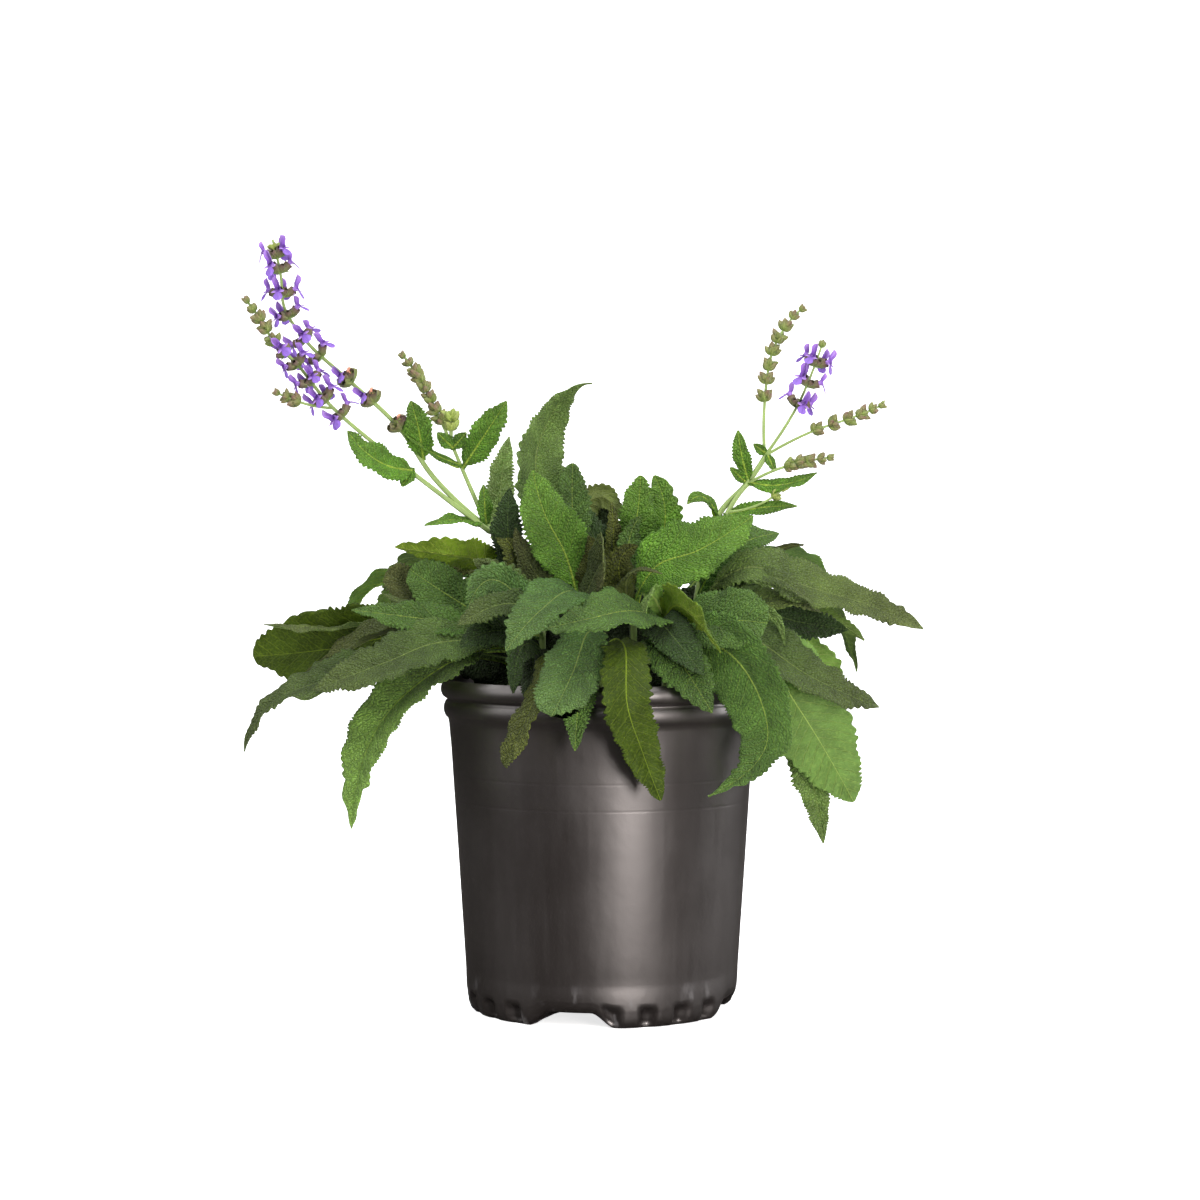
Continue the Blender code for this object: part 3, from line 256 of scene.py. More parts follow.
def pot_plastic():
    """Black plastic, satin, with fine upright scratches, dull scuffs near the foot and a dusty bloom."""
    material, tree, shader = new_material("pot_plastic", 0.4, Specular_IOR_Level=0.8, IOR=1.9,
                                          Specular_Tint=(1.0, 0.94, 0.92, 1))
    place = tree.nodes.new("ShaderNodeTexCoord").outputs["Object"]
    height = tree.nodes.new("ShaderNodeSeparateXYZ")
    tree.links.new(place, height.inputs[0])
    scratches = node_noise(tree, place, 260, 3, (1, 1, 0.045))
    clouds = node_noise(tree, place, 14, 5)
    scuffs = node_noise(tree, place, 120, 6, (1, 1, 0.5))
    low = node_range(tree, height.outputs["Z"], 0.024, 0.010)
    scuffed = times(tree, node_range(tree, scuffs, 0.56, 0.72), low)
    dusty = times(tree, node_range(tree, clouds, 0.45, 0.75), 0.5)
    black = node_mix(tree, dusty, (0.0036, 0.0018, 0.0015), (0.0070, 0.0046, 0.0042))
    tree.links.new(node_mix(tree, times(tree, scuffed, 0.5), black, (0.12, 0.12, 0.13)),
                   shader.inputs["Base Color"])
    rough = plus(tree, node_range(tree, clouds, 0.3, 0.7, 0.36, 0.46),
                      node_range(tree, scratches, 0.35, 0.75, -0.01, 0.03))
    tree.links.new(plus(tree, rough, times(tree, scuffed, 0.25)),
                   shader.inputs["Roughness"])
    relief = plus(tree, times(tree, scratches, 0.10),
                       times(tree, node_noise(tree, place, 190, 5, (1, 1, 0.8)), 0.5))
    for ring in MOULD_RINGS:
        away = node_math(tree, "ABSOLUTE", less(tree, height.outputs["Z"], ring * MM))
        relief = less(tree, relief, node_range(tree, away, 0.0010, 0.0002, 0.0, 0.14))
    bump(tree, shader, relief, 0.35, 0.0005)
    return material


def turned(name, profile, sides, materials):
    """A profile of (radius, height) in millimetres, turned about Z."""
    mesh = bpy.data.meshes.new(name)
    points = [(radius * MM, 0, height * MM) for radius, height in profile]
    mesh.from_pydata(points, [], [(i, i + 1) for i in range(len(profile) - 1)])
    made = add_piece(name, mesh, materials)
    screw = made.modifiers.new("Turn", "SCREW")
    screw.axis = "Z"
    screw.angle = 2 * math.pi
    screw.steps = sides
    screw.render_steps = sides
    screw.use_merge_vertices = True
    screw.merge_threshold = 0.00005
    graph = bpy.context.evaluated_depsgraph_get()
    shape = bmesh.new()
    shape.from_mesh(made.evaluated_get(graph).to_mesh())
    made.modifiers.clear()
    bmesh.ops.recalc_face_normals(shape, faces=shape.faces)
    if shape.calc_volume(signed=True) < 0:
        bmesh.ops.reverse_faces(shape, faces=shape.faces)
    shape.to_mesh(mesh)
    shape.free()
    mesh.shade_smooth()
    return made


pot = turned("nursery_pot", pot_profile(), POT_SIDES, [pot_plastic()])
shape_foot(pot.data)
warp_wall(pot.data)
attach(pot, "root")
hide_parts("pot")


# Potting soil
# Dark bark and peat mix with a little perlite, mounded towards the middle of the pot. It lies loose in the
# pot, and the shoots and flowering stems come up out of it.

NECK_STEP = 1.5
SOIL_GAP = 0.35
SOIL_INSET = 1.2
SOIL_EDGE = RIM_RADIUS - NECK_STEP - WALL - SOIL_GAP - SOIL_INSET
SOIL_RIM_HEIGHT = 155.0
SOIL_CROWN = 9.0
SOIL_SIDES = 96
CHIP_COUNT = 900
PERLITE_SHARE = 0.06
CHIP_SEED = 23
CHIP_CORNERS = ((1, 0, 0), (-1, 0, 0), (0, 1, 0), (0, -1, 0), (0, 0, 1), (0, 0, -1))
CHIP_FACES = ((0, 2, 4), (2, 1, 4), (1, 3, 4), (3, 0, 4), (2, 0, 5), (1, 2, 5), (3, 1, 5), (0, 3, 5))


def soil_height(radius):
    return SOIL_RIM_HEIGHT + SOIL_CROWN * math.sin(math.pi / 2 * max(0, 1 - radius / SOIL_EDGE)) ** 1.2


def soil_material():
    material, tree, shader = new_material("potting_mix", 0.95, Specular_IOR_Level=0.2)
    place = tree.nodes.new("ShaderNodeTexCoord").outputs["Object"]
    crumbs = node_noise(tree, place, 420, 8)
    patches = node_noise(tree, place, 70, 4)
    brown = node_mix(tree, node_range(tree, crumbs, 0.35, 0.7), (0.006, 0.0045, 0.0035),
                     (0.045, 0.030, 0.019))
    tree.links.new(node_mix(tree, node_range(tree, patches, 0.5, 0.75), brown, (0.028, 0.018, 0.012)),
                   shader.inputs["Base Color"])
    bump(tree, shader, crumbs, 1.0, 0.0015)
    return material


def chip_material(name, dark, light):
    material, tree, shader = new_material(name, 0.85)
    place = tree.nodes.new("ShaderNodeTexCoord").outputs["Object"]
    grain = node_noise(tree, place, 700, 5, (1, 1, 2))
    tree.links.new(node_mix(tree, grain, dark, light), shader.inputs["Base Color"])
    bump(tree, shader, grain, 0.8, 0.0004)
    return material


def chips_on_soil():
    """Loose chips and crumbs as squashed six-cornered lumps, half sunk in the surface."""
    draw = random.Random(CHIP_SEED)
    points, faces, kinds = [], [], []
    for _ in range(CHIP_COUNT):
        radius = (SOIL_EDGE - 3) * math.sqrt(draw.random())
        turn = draw.uniform(0, 2 * math.pi)
        place = Vector((radius * math.cos(turn), radius * math.sin(turn), soil_height(radius) + 0.2))
        perlite = draw.random() < PERLITE_SHARE
        size = draw.uniform(0.7, 1.5) if perlite else draw.uniform(0.7, 2.6)
        stretch = Vector((size, size * draw.uniform(0.4, 0.9), size * draw.uniform(0.25, 0.6)))
        spin = Matrix.Rotation(draw.uniform(0, 6.28), 3, "Z")
        spin = spin @ Matrix.Rotation(draw.uniform(-0.6, 0.6), 3, "X")
        first = len(points)
        for corner in CHIP_CORNERS:
            jitter = Vector([c * s * draw.uniform(0.8, 1.1) for c, s in zip(corner, stretch)])
            points.append((place + spin @ jitter) * MM)
        for a, b, c in CHIP_FACES:
            faces.append((first + a, first + b, first + c))
            kinds.append(1 if perlite else 0)
    mesh = bpy.data.meshes.new("soil_chips")
    mesh.from_pydata(points, [], faces)
    mesh.polygons.foreach_set("material_index", kinds)
    return mesh


soil_rings = [(SOIL_EDGE * i / 60, soil_height(SOIL_EDGE * i / 60)) for i in range(61)]
soil_profile = soil_rings + [
    (SOIL_EDGE - 0.5, SOIL_RIM_HEIGHT - 2), (BODY_TOP_RADIUS - WALL - 1, BODY_TOP - 2),
    (outer_radius(60) - WALL - 1, 60), (FOOT_RADIUS - 5, WALL + 9), (0, WALL + 9)]
soil = turned("potting_mix", soil_profile, SOIL_SIDES, [soil_material()])
for vert in soil.data.vertices:
    rise = noise.noise(vert.co * 160) * 1.4 + noise.noise(vert.co * 520) * 0.8
    if vert.co.z > (SOIL_RIM_HEIGHT - 1) * MM:
        vert.co.z += rise * MM
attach(soil, "root")
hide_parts("potting_soil")

chips = add_piece("soil_chips", chips_on_soil(),
                  [chip_material("bark_chip", (0.014, 0.008, 0.005), (0.075, 0.043, 0.024)),
                   chip_material("perlite", (0.42, 0.41, 0.38), (0.66, 0.65, 0.62))])
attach(chips, "root")


# Leafy shoots
# Short square stems, each with its long-stalked leaves. The blade is thin and quilted: its veins are sunk
# above and raised below, its edge is cut into small round teeth, and fine down greys its upper side.

LEAF_THICKNESS = 0.42
STALK_THICKNESS = 1.7
STALK_WIDTH = 2.6
SHOOT_RADIUS = 2.6
SHOOT_GREEN = (96, 116, 56)
STEM_FOOT = 138.0
STEM_SEEN_FROM = 148.0
EDGE_WAVE = 0.9
RUFFLE = 1.1
PHASE_STEP = 2.1
FINE_PITCH = 0.62
BACK_FINE_PITCH = 1.0
TOOTH_PITCH = 2.7
TOOTH_DEPTH = 1.7
LOBE_DEPTH = 0.9
FULLER = 1.07
VEIN_PITCH = 6.4
VEIN_SLOPE = 1.05
PANEL_PUFF = 1.15
ACROSS = (-1, -0.9, -0.76, -0.58, -0.4, -0.22, -0.08, 0, 0.08, 0.22, 0.4, 0.58, 0.76, 0.9, 1)
STEM_FACE = (0.3, -1, 0.2)

# Which material of a plant piece a face takes: the leaf's two sides, the stem or the petal.
UPPER_SLOT, UNDER_SLOT, STEM_SLOT, PETAL_SLOT = range(4)

# Where each leafy shoot leaves the soil, and the height at which its youngest leaf leaves the shoot.
SHOOTS = {
    "left": (-46, -4, 193),
    "left_front": (-30, -32, 193),
    "front": (0, -44, 192),
    "right_front": (32, -32, 197),
    "centre_left": (-12, -8, 204),
    "centre_right": (16, -4, 205),
    "right": (49, -4, 203),
    "back_left": (-34, 34, 205),
    "back": (6, 22, 210),
    "back_right": (38, 34, 205),
}

# The colours of a leaf, by name: upper side, upper side at its tip, underside, and midrib.
# Each is what the eye sees in even light, as red, green and blue from 0 to 255, but for two: light is
# painted light, paler than the leaf itself, and shade is painted shade, darker, for leaves in shadow.
LOOKS = {
    "grey": ((112, 138, 68), (120, 134, 76), (104, 128, 62), (154, 174, 100)),
    "grey_green": ((86, 112, 52), (94, 110, 58), (100, 126, 60), (140, 162, 84)),
    "brown_grey": ((88, 106, 52), (96, 102, 56), (96, 108, 54), (128, 140, 80)),
    "mid": ((86, 122, 48), (94, 126, 58), (106, 140, 62), (166, 190, 84)),
    "bright": ((104, 150, 48), (112, 152, 60), (122, 160, 66), (184, 208, 80)),
    "quilted": ((88, 126, 60), (104, 136, 72), (104, 136, 66), (158, 182, 92)),
    "bright_tip": ((84, 108, 48), (140, 178, 84), (118, 152, 64), (170, 196, 88)),
    "pale": ((124, 156, 76), (134, 162, 88), (130, 166, 78), (172, 194, 108)),
    "dark": ((54, 80, 34), (60, 84, 40), (70, 96, 40), (100, 126, 60)),
    "olive": ((88, 100, 32), (92, 100, 42), (96, 106, 34), (146, 158, 58)),
    "backlit": ((84, 104, 38), (92, 108, 50), (60, 78, 12), (118, 140, 34)),
    "lime": ((108, 136, 48), (116, 146, 56), (118, 144, 42), (168, 186, 76)),
    # Painted light: paler than the leaf's own colour, to lift a leaf that lies in another leaf's shadow.
    "light": ((176, 202, 128), (182, 206, 136), (160, 190, 110), (200, 218, 146)),
    # Painted shade: a dark colour that stands in for the shadow deep in the plant.
    "shade": ((44, 62, 26), (50, 68, 32), (48, 68, 26), (70, 90, 40)),
}

# One row for each leaf: the piece that it grows on, the height at which it leaves it, its layer from the back
# of the plant to the front, its width, the way that its upper side faces at mid-length, the points that its
# midrib passes from stalk to tip, its look, and what is special about it. fold is the angle of each half of
# the blade, stalk the bare share of the length, and tooth the size of its teeth against the others'. A low
# blunt rounds the tip off, and a high one draws it out.
LEAVES = [
    ("left", 176, 1, 41, (0.1, 0.85, 0.5), [(-104, 6, 190), (-140, 8, 184), (-180, 10, 180)],
     "backlit", dict(stalk=0.3, blunt=0.5)),
    ("left", 190, 2, 20, (0, -0.12, 1), [(-107, -2, 198), (-144, -6, 194), (-172, -10, 197)],
     "grey", dict(stalk=0.35)),
    ("left", 184, 3, 22, (-0.1, -0.35, 1), [(-105, -14, 194), (-132, -20, 182), (-154, -24, 168)],
     "brown_grey", dict(stalk=0.3, fold=32)),
    ("left", 178, 4, 26, (-0.45, -0.6, 0.7),
     [(-102, -16, 182), (-139, -26, 170), (-165, -32, 159), (-179, -34, 134)],
     "grey_green", dict(stalk=0.25, tooth=1.5)),
    ("left_front", 186, 7, 29, (-0.15, -0.75, 0.65), [(-81, -40, 189), (-106, -50, 180), (-143, -54, 166)],
     "grey_green", dict(stalk=0.2)),
    ("left_front", 181, 5, 29, (-0.6, -0.75, 0.35),
     [(-62, -36, 184), (-97, -44, 164), (-115, -48, 140), (-124, -50, 97)],
     "bright_tip", dict(stalk=0.2, fold=20)),
    ("left", 192, 2, 23, (0, -0.9, 0.4), [(-82, 3, 207), (-111, 4, 223)], "brown_grey", dict(blunt=0.4)),
    ("left", 193, 4, 26, (0.1, -0.85, 0.5), [(-73, -6, 208), (-98, -8, 225)], "mid", dict(blunt=0.4)),
    ("left_front", 191, 6, 19, (0, -0.75, 0.65), [(-79, -30, 199), (-125, -34, 205)], "mid"),
    ("left", 192, 5, 14, (0.35, -0.35, 0.85), [(-82, -20, 201), (-111, -24, 213)], "grey_green"),
    ("flower_left", 206, 2, 20, (0, 0.8, 0.55), [(-58, 10, 227), (-81, 7, 233), (-106, 4, 236)], "lime"),
    ("flower_left", 200, 1, 16, (0, -0.6, 0.8), [(-63, 14, 224), (-90, 15, 229)], "olive"),
    # Painted light: its light look lifts this leaf out of the shadow of the tall leaf in front of it.
    ("flower_left", 222, 2, 15, (-0.2, -0.95, 0.1), [(-53, 20, 253), (-48, 20, 293)], "light"),
    ("flower_left", 214, 4, 17, (-0.3, -0.9, 0.2), [(-48, 8, 244), (-47, 7, 266)], "dark"),
    ("flower_left", 212, 4, 11, (0, -0.8, 0.5), [(-46, 9, 236), (-57, 8, 245)], "olive"),
    ("centre_left", 204, 6, 28, (0.1, -1, 0.1), [(-18, -14, 231), (-29, -18, 253), (-35, -14, 275)],
     "bright"),
    ("centre_left", 202, 3, 38, (0.6, -0.8, 0.1),
     [(-31, 2, 260), (-34, 4, 283), (-25, 6, 306), (-14, 7, 318), (-5, 6, 320)],
     "pale", dict(stalk=0.15, fold=24, blunt=1.25)),
    ("centre_left", 201, 4, 18, (0.2, -1, 0), [(-15, -2, 250), (-15, -1, 279)], "mid", dict(blunt=0.5)),
    ("centre_left", 200, 5, 13, (-0.4, -0.9, 0), [(-34, -8, 223), (-44, -6, 246)], "brown_grey"),
    ("centre_left", 203, 8, 26, (0, -0.9, 0.5), [(1, -26, 229), (-2, -38, 213)],
     "brown_grey", dict(stalk=0.1, blunt=0.4)),
    ("centre_left", 204, 7, 17, (-0.2, -0.9, 0.3), [(-3, -18, 229), (-7, -18, 242)],
     "olive", dict(stalk=0.1, fold=25)),
    ("back", 205, 1, 17, (0.1, 0.25, 1), [(-10, 26, 256), (0, 26, 262), (11, 22, 249)], "brown_grey"),
    ("back", 208, 2, 19, (0.3, -0.9, 0.2), [(-2, 14, 237), (-14, 12, 257)], "dark"),
    ("back", 209, 3, 9, (0.2, -1, 0), [(6, 10, 240), (5, 9, 259)], "olive"),
    ("back", 208, 2, 19, (0, -1, 0.1), [(16, 16, 240), (20, 17, 273)], "bright", dict(blunt=0.6)),
    ("back", 206, 1, 18, (0.1, -1, 0.1), [(32, 22, 244), (27, 22, 273)], "bright", dict(blunt=0.6)),
    ("centre_right", 204, 3, 13, (0.2, -1, 0.1), [(14, 2, 240), (20, 2, 252)], "mid"),
    ("centre_right", 205, 7, 15, (0.1, -0.7, 0.7), [(9, -12, 229), (18, -14, 237)],
     "olive", dict(stalk=0.1)),
    ("centre_right", 200, 9, 10, (0, -0.5, 0.8), [(14, -26, 223), (30, -34, 223)],
     "brown_grey", dict(stalk=0.1)),
    ("centre_right", 198, 8, 35, (-0.15, -0.85, 0.5), [(27, -18, 226), (49, -26, 235), (76, -24, 252)],
     "bright", dict(stalk=0.2)),
    ("flower_right", 206, 4, 18, (0, -0.8, 0.6), [(65, 2, 234), (91, 0, 243)], "mid"),
    ("flower_right", 200, 2, 8, (0, -0.6, 0.8), [(84, 10, 231), (104, 12, 237)], "olive"),
    ("right", 203, 6, 27, (0.1, -0.7, 0.7),
     [(73, -10, 226), (105, -16, 216), (135, -20, 207), (162, -22, 195)], "grey", dict(stalk=0.15)),
    ("right", 200, 7, 14, (0, -0.6, 0.8), [(80, -22, 222), (105, -28, 208)], "grey_green"),
    ("right", 196, 5, 17, (0, -0.5, 0.85), [(83, -14, 210), (111, -16, 203)], "grey"),
    ("right", 191, 4, 21, (0, -0.95, 0.3), [(80, -12, 202), (101, -12, 198), (125, -10, 194)], "dark"),
    ("right", 188, 2, 15, (0, 0.8, 0.6), [(102, 6, 203), (135, 8, 188)], "grey"),
    ("right", 180, 3, 22, (0.1, 0.75, 0.6), [(86, 4, 193), (108, 6, 181), (126, 6, 162)], "pale"),
    ("right", 182, 7, 27, (0.1, -0.75, 0.65), [(72, -38, 192), (101, -48, 174), (136, -52, 158)],
     "grey_green", dict(stalk=0.15)),
    ("right", 180, 6, 42, (-0.1, 0.95, 0.3),
     [(80, -30, 182), (95, -42, 160), (111, -48, 135), (125, -46, 110)],
     "quilted", dict(stalk=0.2, blunt=0.65)),
    ("right", 177, 5, 20, (-0.4, -0.9, 0.2), [(84, -24, 174), (102, -36, 130), (111, -34, 88)],
     "pale", dict(stalk=0.3, fold=25)),
    ("right_front", 190, 8, 38, (-0.6, -0.75, 0.25),
     [(63, -58, 184), (77, -72, 162), (79, -82, 140), (51, -92, 117)],
     "mid", dict(stalk=0.15, fold=16, blunt=1.15)),
    ("right_front", 190, 10, 21, (0, -0.9, 0.45), [(29, -70, 199), (49, -86, 175)],
     "dark", dict(stalk=0.15)),
    ("right_front", 184, 9, 26, (-0.1, -0.95, 0.3), [(30, -68, 193), (42, -84, 175), (53, -88, 157)],
     "mid", dict(stalk=0.15)),
    ("right_front", 195, 11, 22, (0.1, 0.8, 0.6), [(39, -78, 208), (57, -92, 186)],
     "lime", dict(stalk=0.1)),
    ("right_front", 196, 9, 30, (0.1, -0.95, 0.3), [(56, -50, 201), (80, -60, 200)],
     "mid", dict(stalk=0.15, blunt=0.35)),
    ("right", 190, 8, 8, (-0.5, -0.8, 0), [(84, -44, 203), (90, -50, 188)], "pale"),
    ("right_front", 197, 12, 10, (-0.7, -0.6, 0.3), [(23, -70, 213), (21, -82, 197)],
     "pale", dict(stalk=0.1)),
    ("right_front", 197, 13, 29, (0, -0.75, 0.66), [(13, -60, 206), (-6, -80, 203), (-26, -90, 198)],
     "mid", dict(stalk=0.15)),
    ("front", 192, 10, 28, (-0.2, -0.85, 0.45), [(-13, -50, 214), (-30, -68, 206), (-46, -78, 187)],
     "quilted", dict(stalk=0.15)),
    ("left_front", 182, 8, 13, (0.1, -1, 0.1), [(-40, -74, 186), (-43, -86, 166)],
     "dark", dict(stalk=0.25)),
    # Painted shade: a dark leaf in the shade look, standing for shadow behind the leaves in front.
    ("left_front", 178, 6, 13, (-0.1, -1, 0.1), [(-33, -66, 184), (-35, -86, 159)],
     "shade", dict(stalk=0.25)),
    ("front", 180, 8, 17, (-0.75, -0.6, 0.2), [(-22, -76, 187), (-32, -90, 165), (-47, -94, 132)],
     "olive", dict(stalk=0.2, blunt=0.25)),
    ("front", 187, 11, 27, (-0.1, -1, 0.2), [(-7, -82, 195), (-14, -98, 177), (-24, -100, 157)],
     "quilted", dict(stalk=0.2, blunt=0.3)),
    ("front", 184, 9, 17, (0, -1, 0.1), [(-9, -88, 175), (-13, -94, 139)], "mid", dict(stalk=0.3, fold=30)),
    ("front", 183, 12, 22, (0, 1, 0.1), [(11, -84, 188), (12, -98, 162), (19, -100, 140), (28, -100, 116)],
     "backlit", dict(stalk=0.15, blunt=0.6)),
    ("left_front", 192, 7, 18, (-0.1, -0.9, 0.4), [(-45, -22, 215), (-65, -22, 230)], "grey_green"),
    ("left_front", 193, 8, 17, (-0.2, -0.9, 0.35), [(-55, -30, 220), (-67, -38, 205)],
     "quilted", dict(stalk=0.1)),
    ("left_front", 190, 9, 17, (0, -0.75, 0.65), [(-42, -46, 208), (-71, -56, 198)], "grey_green"),
    ("left_front", 185, 8, 16, (0, -0.9, 0.3), [(-53, -46, 195), (-70, -54, 187)], "dark"),
    # Painted shade: two dark leaves in the shade look, filling the shadow low in the middle of the plant.
    ("centre_left", 172, 1, 27, (0, -1, 0.1), [(2, 2, 186), (15, 8, 206)], "shade"),
    ("centre_right", 168, 2, 27, (0, -1, 0.1), [(19, 0, 184), (30, 2, 204)], "shade"),
]

# Leaves of the hidden back, by rule: the shoot, the sector that they fan over, and how many. Their arch is a
# share of the length and a rise for each point.
BACK_FANS = (("back_left", 114, 162, 3), ("back", 78, 96, 2), ("back_right", 16, 62, 3))
BACK_LOOKS = ("mid", "grey_green", "bright", "quilted", "mid", "grey_green", "quilted", "mid")
BACK_ARCH = ((0.45, 20), (0.8, 12), (1.0, -26))
BACK_LIFTS = (2, 16)
BACK_LENGTH = (100, 128)
BACK_WIDTH = (24, 32)
BACK_SEED = 7

# Old leaves in the middle of the plant: shoot, height, width, and points. Their shade look is
# painted shade: a dark colour for the shadow deep in the plant.
INNER_LEAVES = [
    ("back_left", 172, 36, [(-50, 34, 187), (-68, 32, 184), (-88, 30, 172)]),
    ("back_left", 176, 36, [(-42, 32, 192), (-54, 30, 216)]),
    ("back_left", 170, 32, [(-30, 34, 184), (-34, 32, 206)]),
    ("back", 174, 36, [(-6, 24, 190), (-20, 24, 210)]),
    ("back", 170, 32, [(8, 24, 188), (14, 24, 216)]),
    ("back_right", 172, 36, [(36, 34, 192), (28, 32, 212)]),
    ("back_right", 174, 36, [(46, 34, 192), (56, 34, 214)]),
    ("back_right", 170, 32, [(58, 36, 190), (84, 36, 178)]),
    ("back", 198, 24, [(-4, 30, 232), (-1, 30, 264)]),
    ("back_left", 190, 26, [(-32, 34, 206), (-25, 32, 234)]),
    ("back_left", 158, 36, [(-40, 38, 170), (-56, 40, 176), (-69, 40, 182)]),
    ("back_right", 158, 36, [(34, 40, 170), (20, 42, 178), (4, 42, 184)]),
]

# The two main flowering stems and the twin of the right one, which the leaves bend clear of, and the stem
# that the leaves of each flowering piece grow on.
MAIN_STEMS = {
    "left_main": [(-38, 14, 138), (-39, 14, 190), (-48, 15, 231), (-60, 14, 247)],
    "right_main": [(45, 15, 138), (45.5, 15, 175), (50, 15, 215), (60, 15, 252), (75, 14, 269),
                   (85, 13, 284)],
    "right_twin": [(48, 14, 190), (64, 11, 252), (76, 13, 269)],
}
LEAF_STEMS = {"flower_left": "left_main", "flower_right": "right_main"}
STEM_LAYER = 2.5

# How leaves of neighbouring layers are bent apart.
LAYER_GAP = 2.4
LAYER_NEAR = 4.0
LAYER_ROUNDS = 90
LAYER_REACH = 22.0
LAYER_PUSH = 6
STEM_HALF = 2.5
ROOT_SHARE = 0.4
POT_CLEARANCE = 4.0


def unit(vector):
    return vector / max(np.linalg.norm(vector), 1e-9)


def smooth_line(points, count):
    """A smooth curve through the points, sampled evenly along its length."""
    p = np.asarray(points, float)
    if len(p) == 2:
        return p[0] + (p[1] - p[0]) * np.linspace(0, 1, count)[:, None]
    t = np.concatenate([[0], np.cumsum(np.sqrt(np.linalg.norm(np.diff(p, axis=0), axis=1)))])
    slope = np.empty_like(p)
    for i in range(1, len(p) - 1):
        a, b = t[i] - t[i - 1], t[i + 1] - t[i]
        slope[i] = ((p[i] - p[i - 1]) / a * b + (p[i + 1] - p[i]) / b * a) / (a + b)
    slope[0] = 2 * (p[1] - p[0]) / (t[1] - t[0]) - slope[1]
    slope[-1] = 2 * (p[-1] - p[-2]) / (t[-1] - t[-2]) - slope[-2]
    fine = []
    for i in range(len(p) - 1):
        h = t[i + 1] - t[i]
        u = np.linspace(0, 1, 24, endpoint=i == len(p) - 2)[:, None]
        fine.append((2 * u**3 - 3 * u**2 + 1) * p[i] + (u**3 - 2 * u**2 + u) * h * slope[i]
                    + (3 * u**2 - 2 * u**3) * p[i + 1] + (u**3 - u**2) * h * slope[i + 1])
    fine = np.concatenate(fine)
    along = np.concatenate([[0], np.cumsum(np.linalg.norm(np.diff(fine, axis=0), axis=1))])
    at = np.linspace(0, along[-1], count)
    return np.stack([np.interp(at, along, fine[:, k]) for k in range(3)], 1)


def length_of(line):
    return float(np.linalg.norm(np.diff(line, axis=0), axis=1).sum())


def blade_frame(line, face):
    """Across and normal directions along a midrib, with the least twist, facing as asked at 60% of it."""
    along = np.gradient(line, axis=0)
    along /= np.linalg.norm(along, axis=1)[:, None]
    normal = np.zeros_like(line)
    middle = int(0.6 * (len(line) - 1))
    face = unit(np.asarray(face, float))
    normal[middle] = unit(face - (face @ along[middle]) * along[middle])
    for i in range(middle + 1, len(line)):
        normal[i] = unit(normal[i - 1] - (normal[i - 1] @ along[i]) * along[i])
    for i in range(middle - 1, -1, -1):
        normal[i] = unit(normal[i + 1] - (normal[i + 1] @ along[i]) * along[i])
    return np.cross(along, normal), normal


def half_widths(share, leaf):
    """Half the width along a blade: a bare stalk, then a lance shape, widest below the middle."""
    t = np.clip((share - leaf["stalk"]) / (1 - leaf["stalk"]), 0, 1)
    a, b = 0.55, leaf["blunt"]
    top = a / (a + b)
    outline = t**a * (1 - t) ** b / (top**a * (1 - top) ** b)
    return np.maximum(outline * leaf["width"] / 2, np.where(share < 0.93, STALK_WIDTH / 2, 0.6))


def coarse_surface(leaf, stations, across):
    """The middle surface of a blade as a coarse grid, for the layering."""
    line = smooth_line(leaf["points"], stations)
    side, normal = blade_frame(line, leaf["face"])
    share = np.linspace(0, 1, stations)
    half = half_widths(share, leaf)
    fold = math.radians(leaf["fold"])
    wave = EDGE_WAVE * np.sin(share * 14 + leaf["phase"]) * np.clip(half / 8, 0, 1.4)
    grid = np.empty((stations, len(across), 3))
    for k, u in enumerate(across):
        out = half * u * math.cos(fold)
        up = half * abs(u) * math.sin(fold) + wave * u * abs(u)
        grid[:, k] = line + side * out[:, None] + normal * up[:, None]
    return grid


def new_leaf(piece, layer, width, face, look, phase, points, **special):
    """One leaf: its piece, its colours and its shape. The phase sets its waves apart from its neighbours'."""
    leaf = dict(piece=piece, layer=layer, width=width, face=face, look=look, phase=phase,
                stalk=0.18, fold=12, blunt=0.8, tooth=1.0)
    leaf.update(special)
    leaf["points"] = [[float(c) for c in point] for point in points]
    return leaf


def seen_leaf(index, piece, height, layer, width, face, points, look, special=()):
    """A leaf of the table, from where it leaves its shoot or its flowering stem."""
    if piece in SHOOTS:
        x, y, _ = SHOOTS[piece]
    else:
        stem = MAIN_STEMS[LEAF_STEMS[piece]]
        x, y, _ = smooth_line(stem, 60)[int(59 * (height - STEM_FOOT) / (stem[-1][2] - STEM_FOOT))]
    points = [(x, y, height)] + points
    return new_leaf(piece, layer, width, face, look, index * PHASE_STEP, points, **dict(special))


def back_leaves(first_index):
    """The fan of leaves behind the plant, which the photograph hides."""
    draw = random.Random(BACK_SEED)
    made = []
    for piece, start, end, count in BACK_FANS:
        x, y, top = SHOOTS[piece]
        for k in range(count):
            turn = math.radians(start + (end - start) * k / max(count - 1, 1))
            length = draw.uniform(*BACK_LENGTH)
            out = Vector((math.cos(turn), math.sin(turn)))
            height = top - 12 + 4 * (k % 3)
            path = [(x, y, height)]
            for share, rise in BACK_ARCH:
                path.append((x + out.x * length * share, y + out.y * length * share,
                             height + rise + BACK_LIFTS[k % 2]))
            made.append(new_leaf(piece, 0, draw.uniform(*BACK_WIDTH), (out.x * 0.3, out.y * 0.3, 1),
                                 BACK_LOOKS[len(made)], (first_index + len(made)) * PHASE_STEP, path,
                                 stalk=0.2, fold=14, blunt=0.75))
    return made


def inner_leaves(first_index):
    made = []
    for piece, height, width, points in INNER_LEAVES:
        x, y, _ = SHOOTS[piece]
        # Their shade look is painted shade: a dark colour for the shadow deep in the plant.
        made.append(new_leaf(piece, 0, width, (0, -1, 0.15), "shade", (first_index + len(made)) * PHASE_STEP,
                             [(x, y, height)] + points, stalk=0.15, fold=8, blunt=0.6, tooth=1.2))
    return made


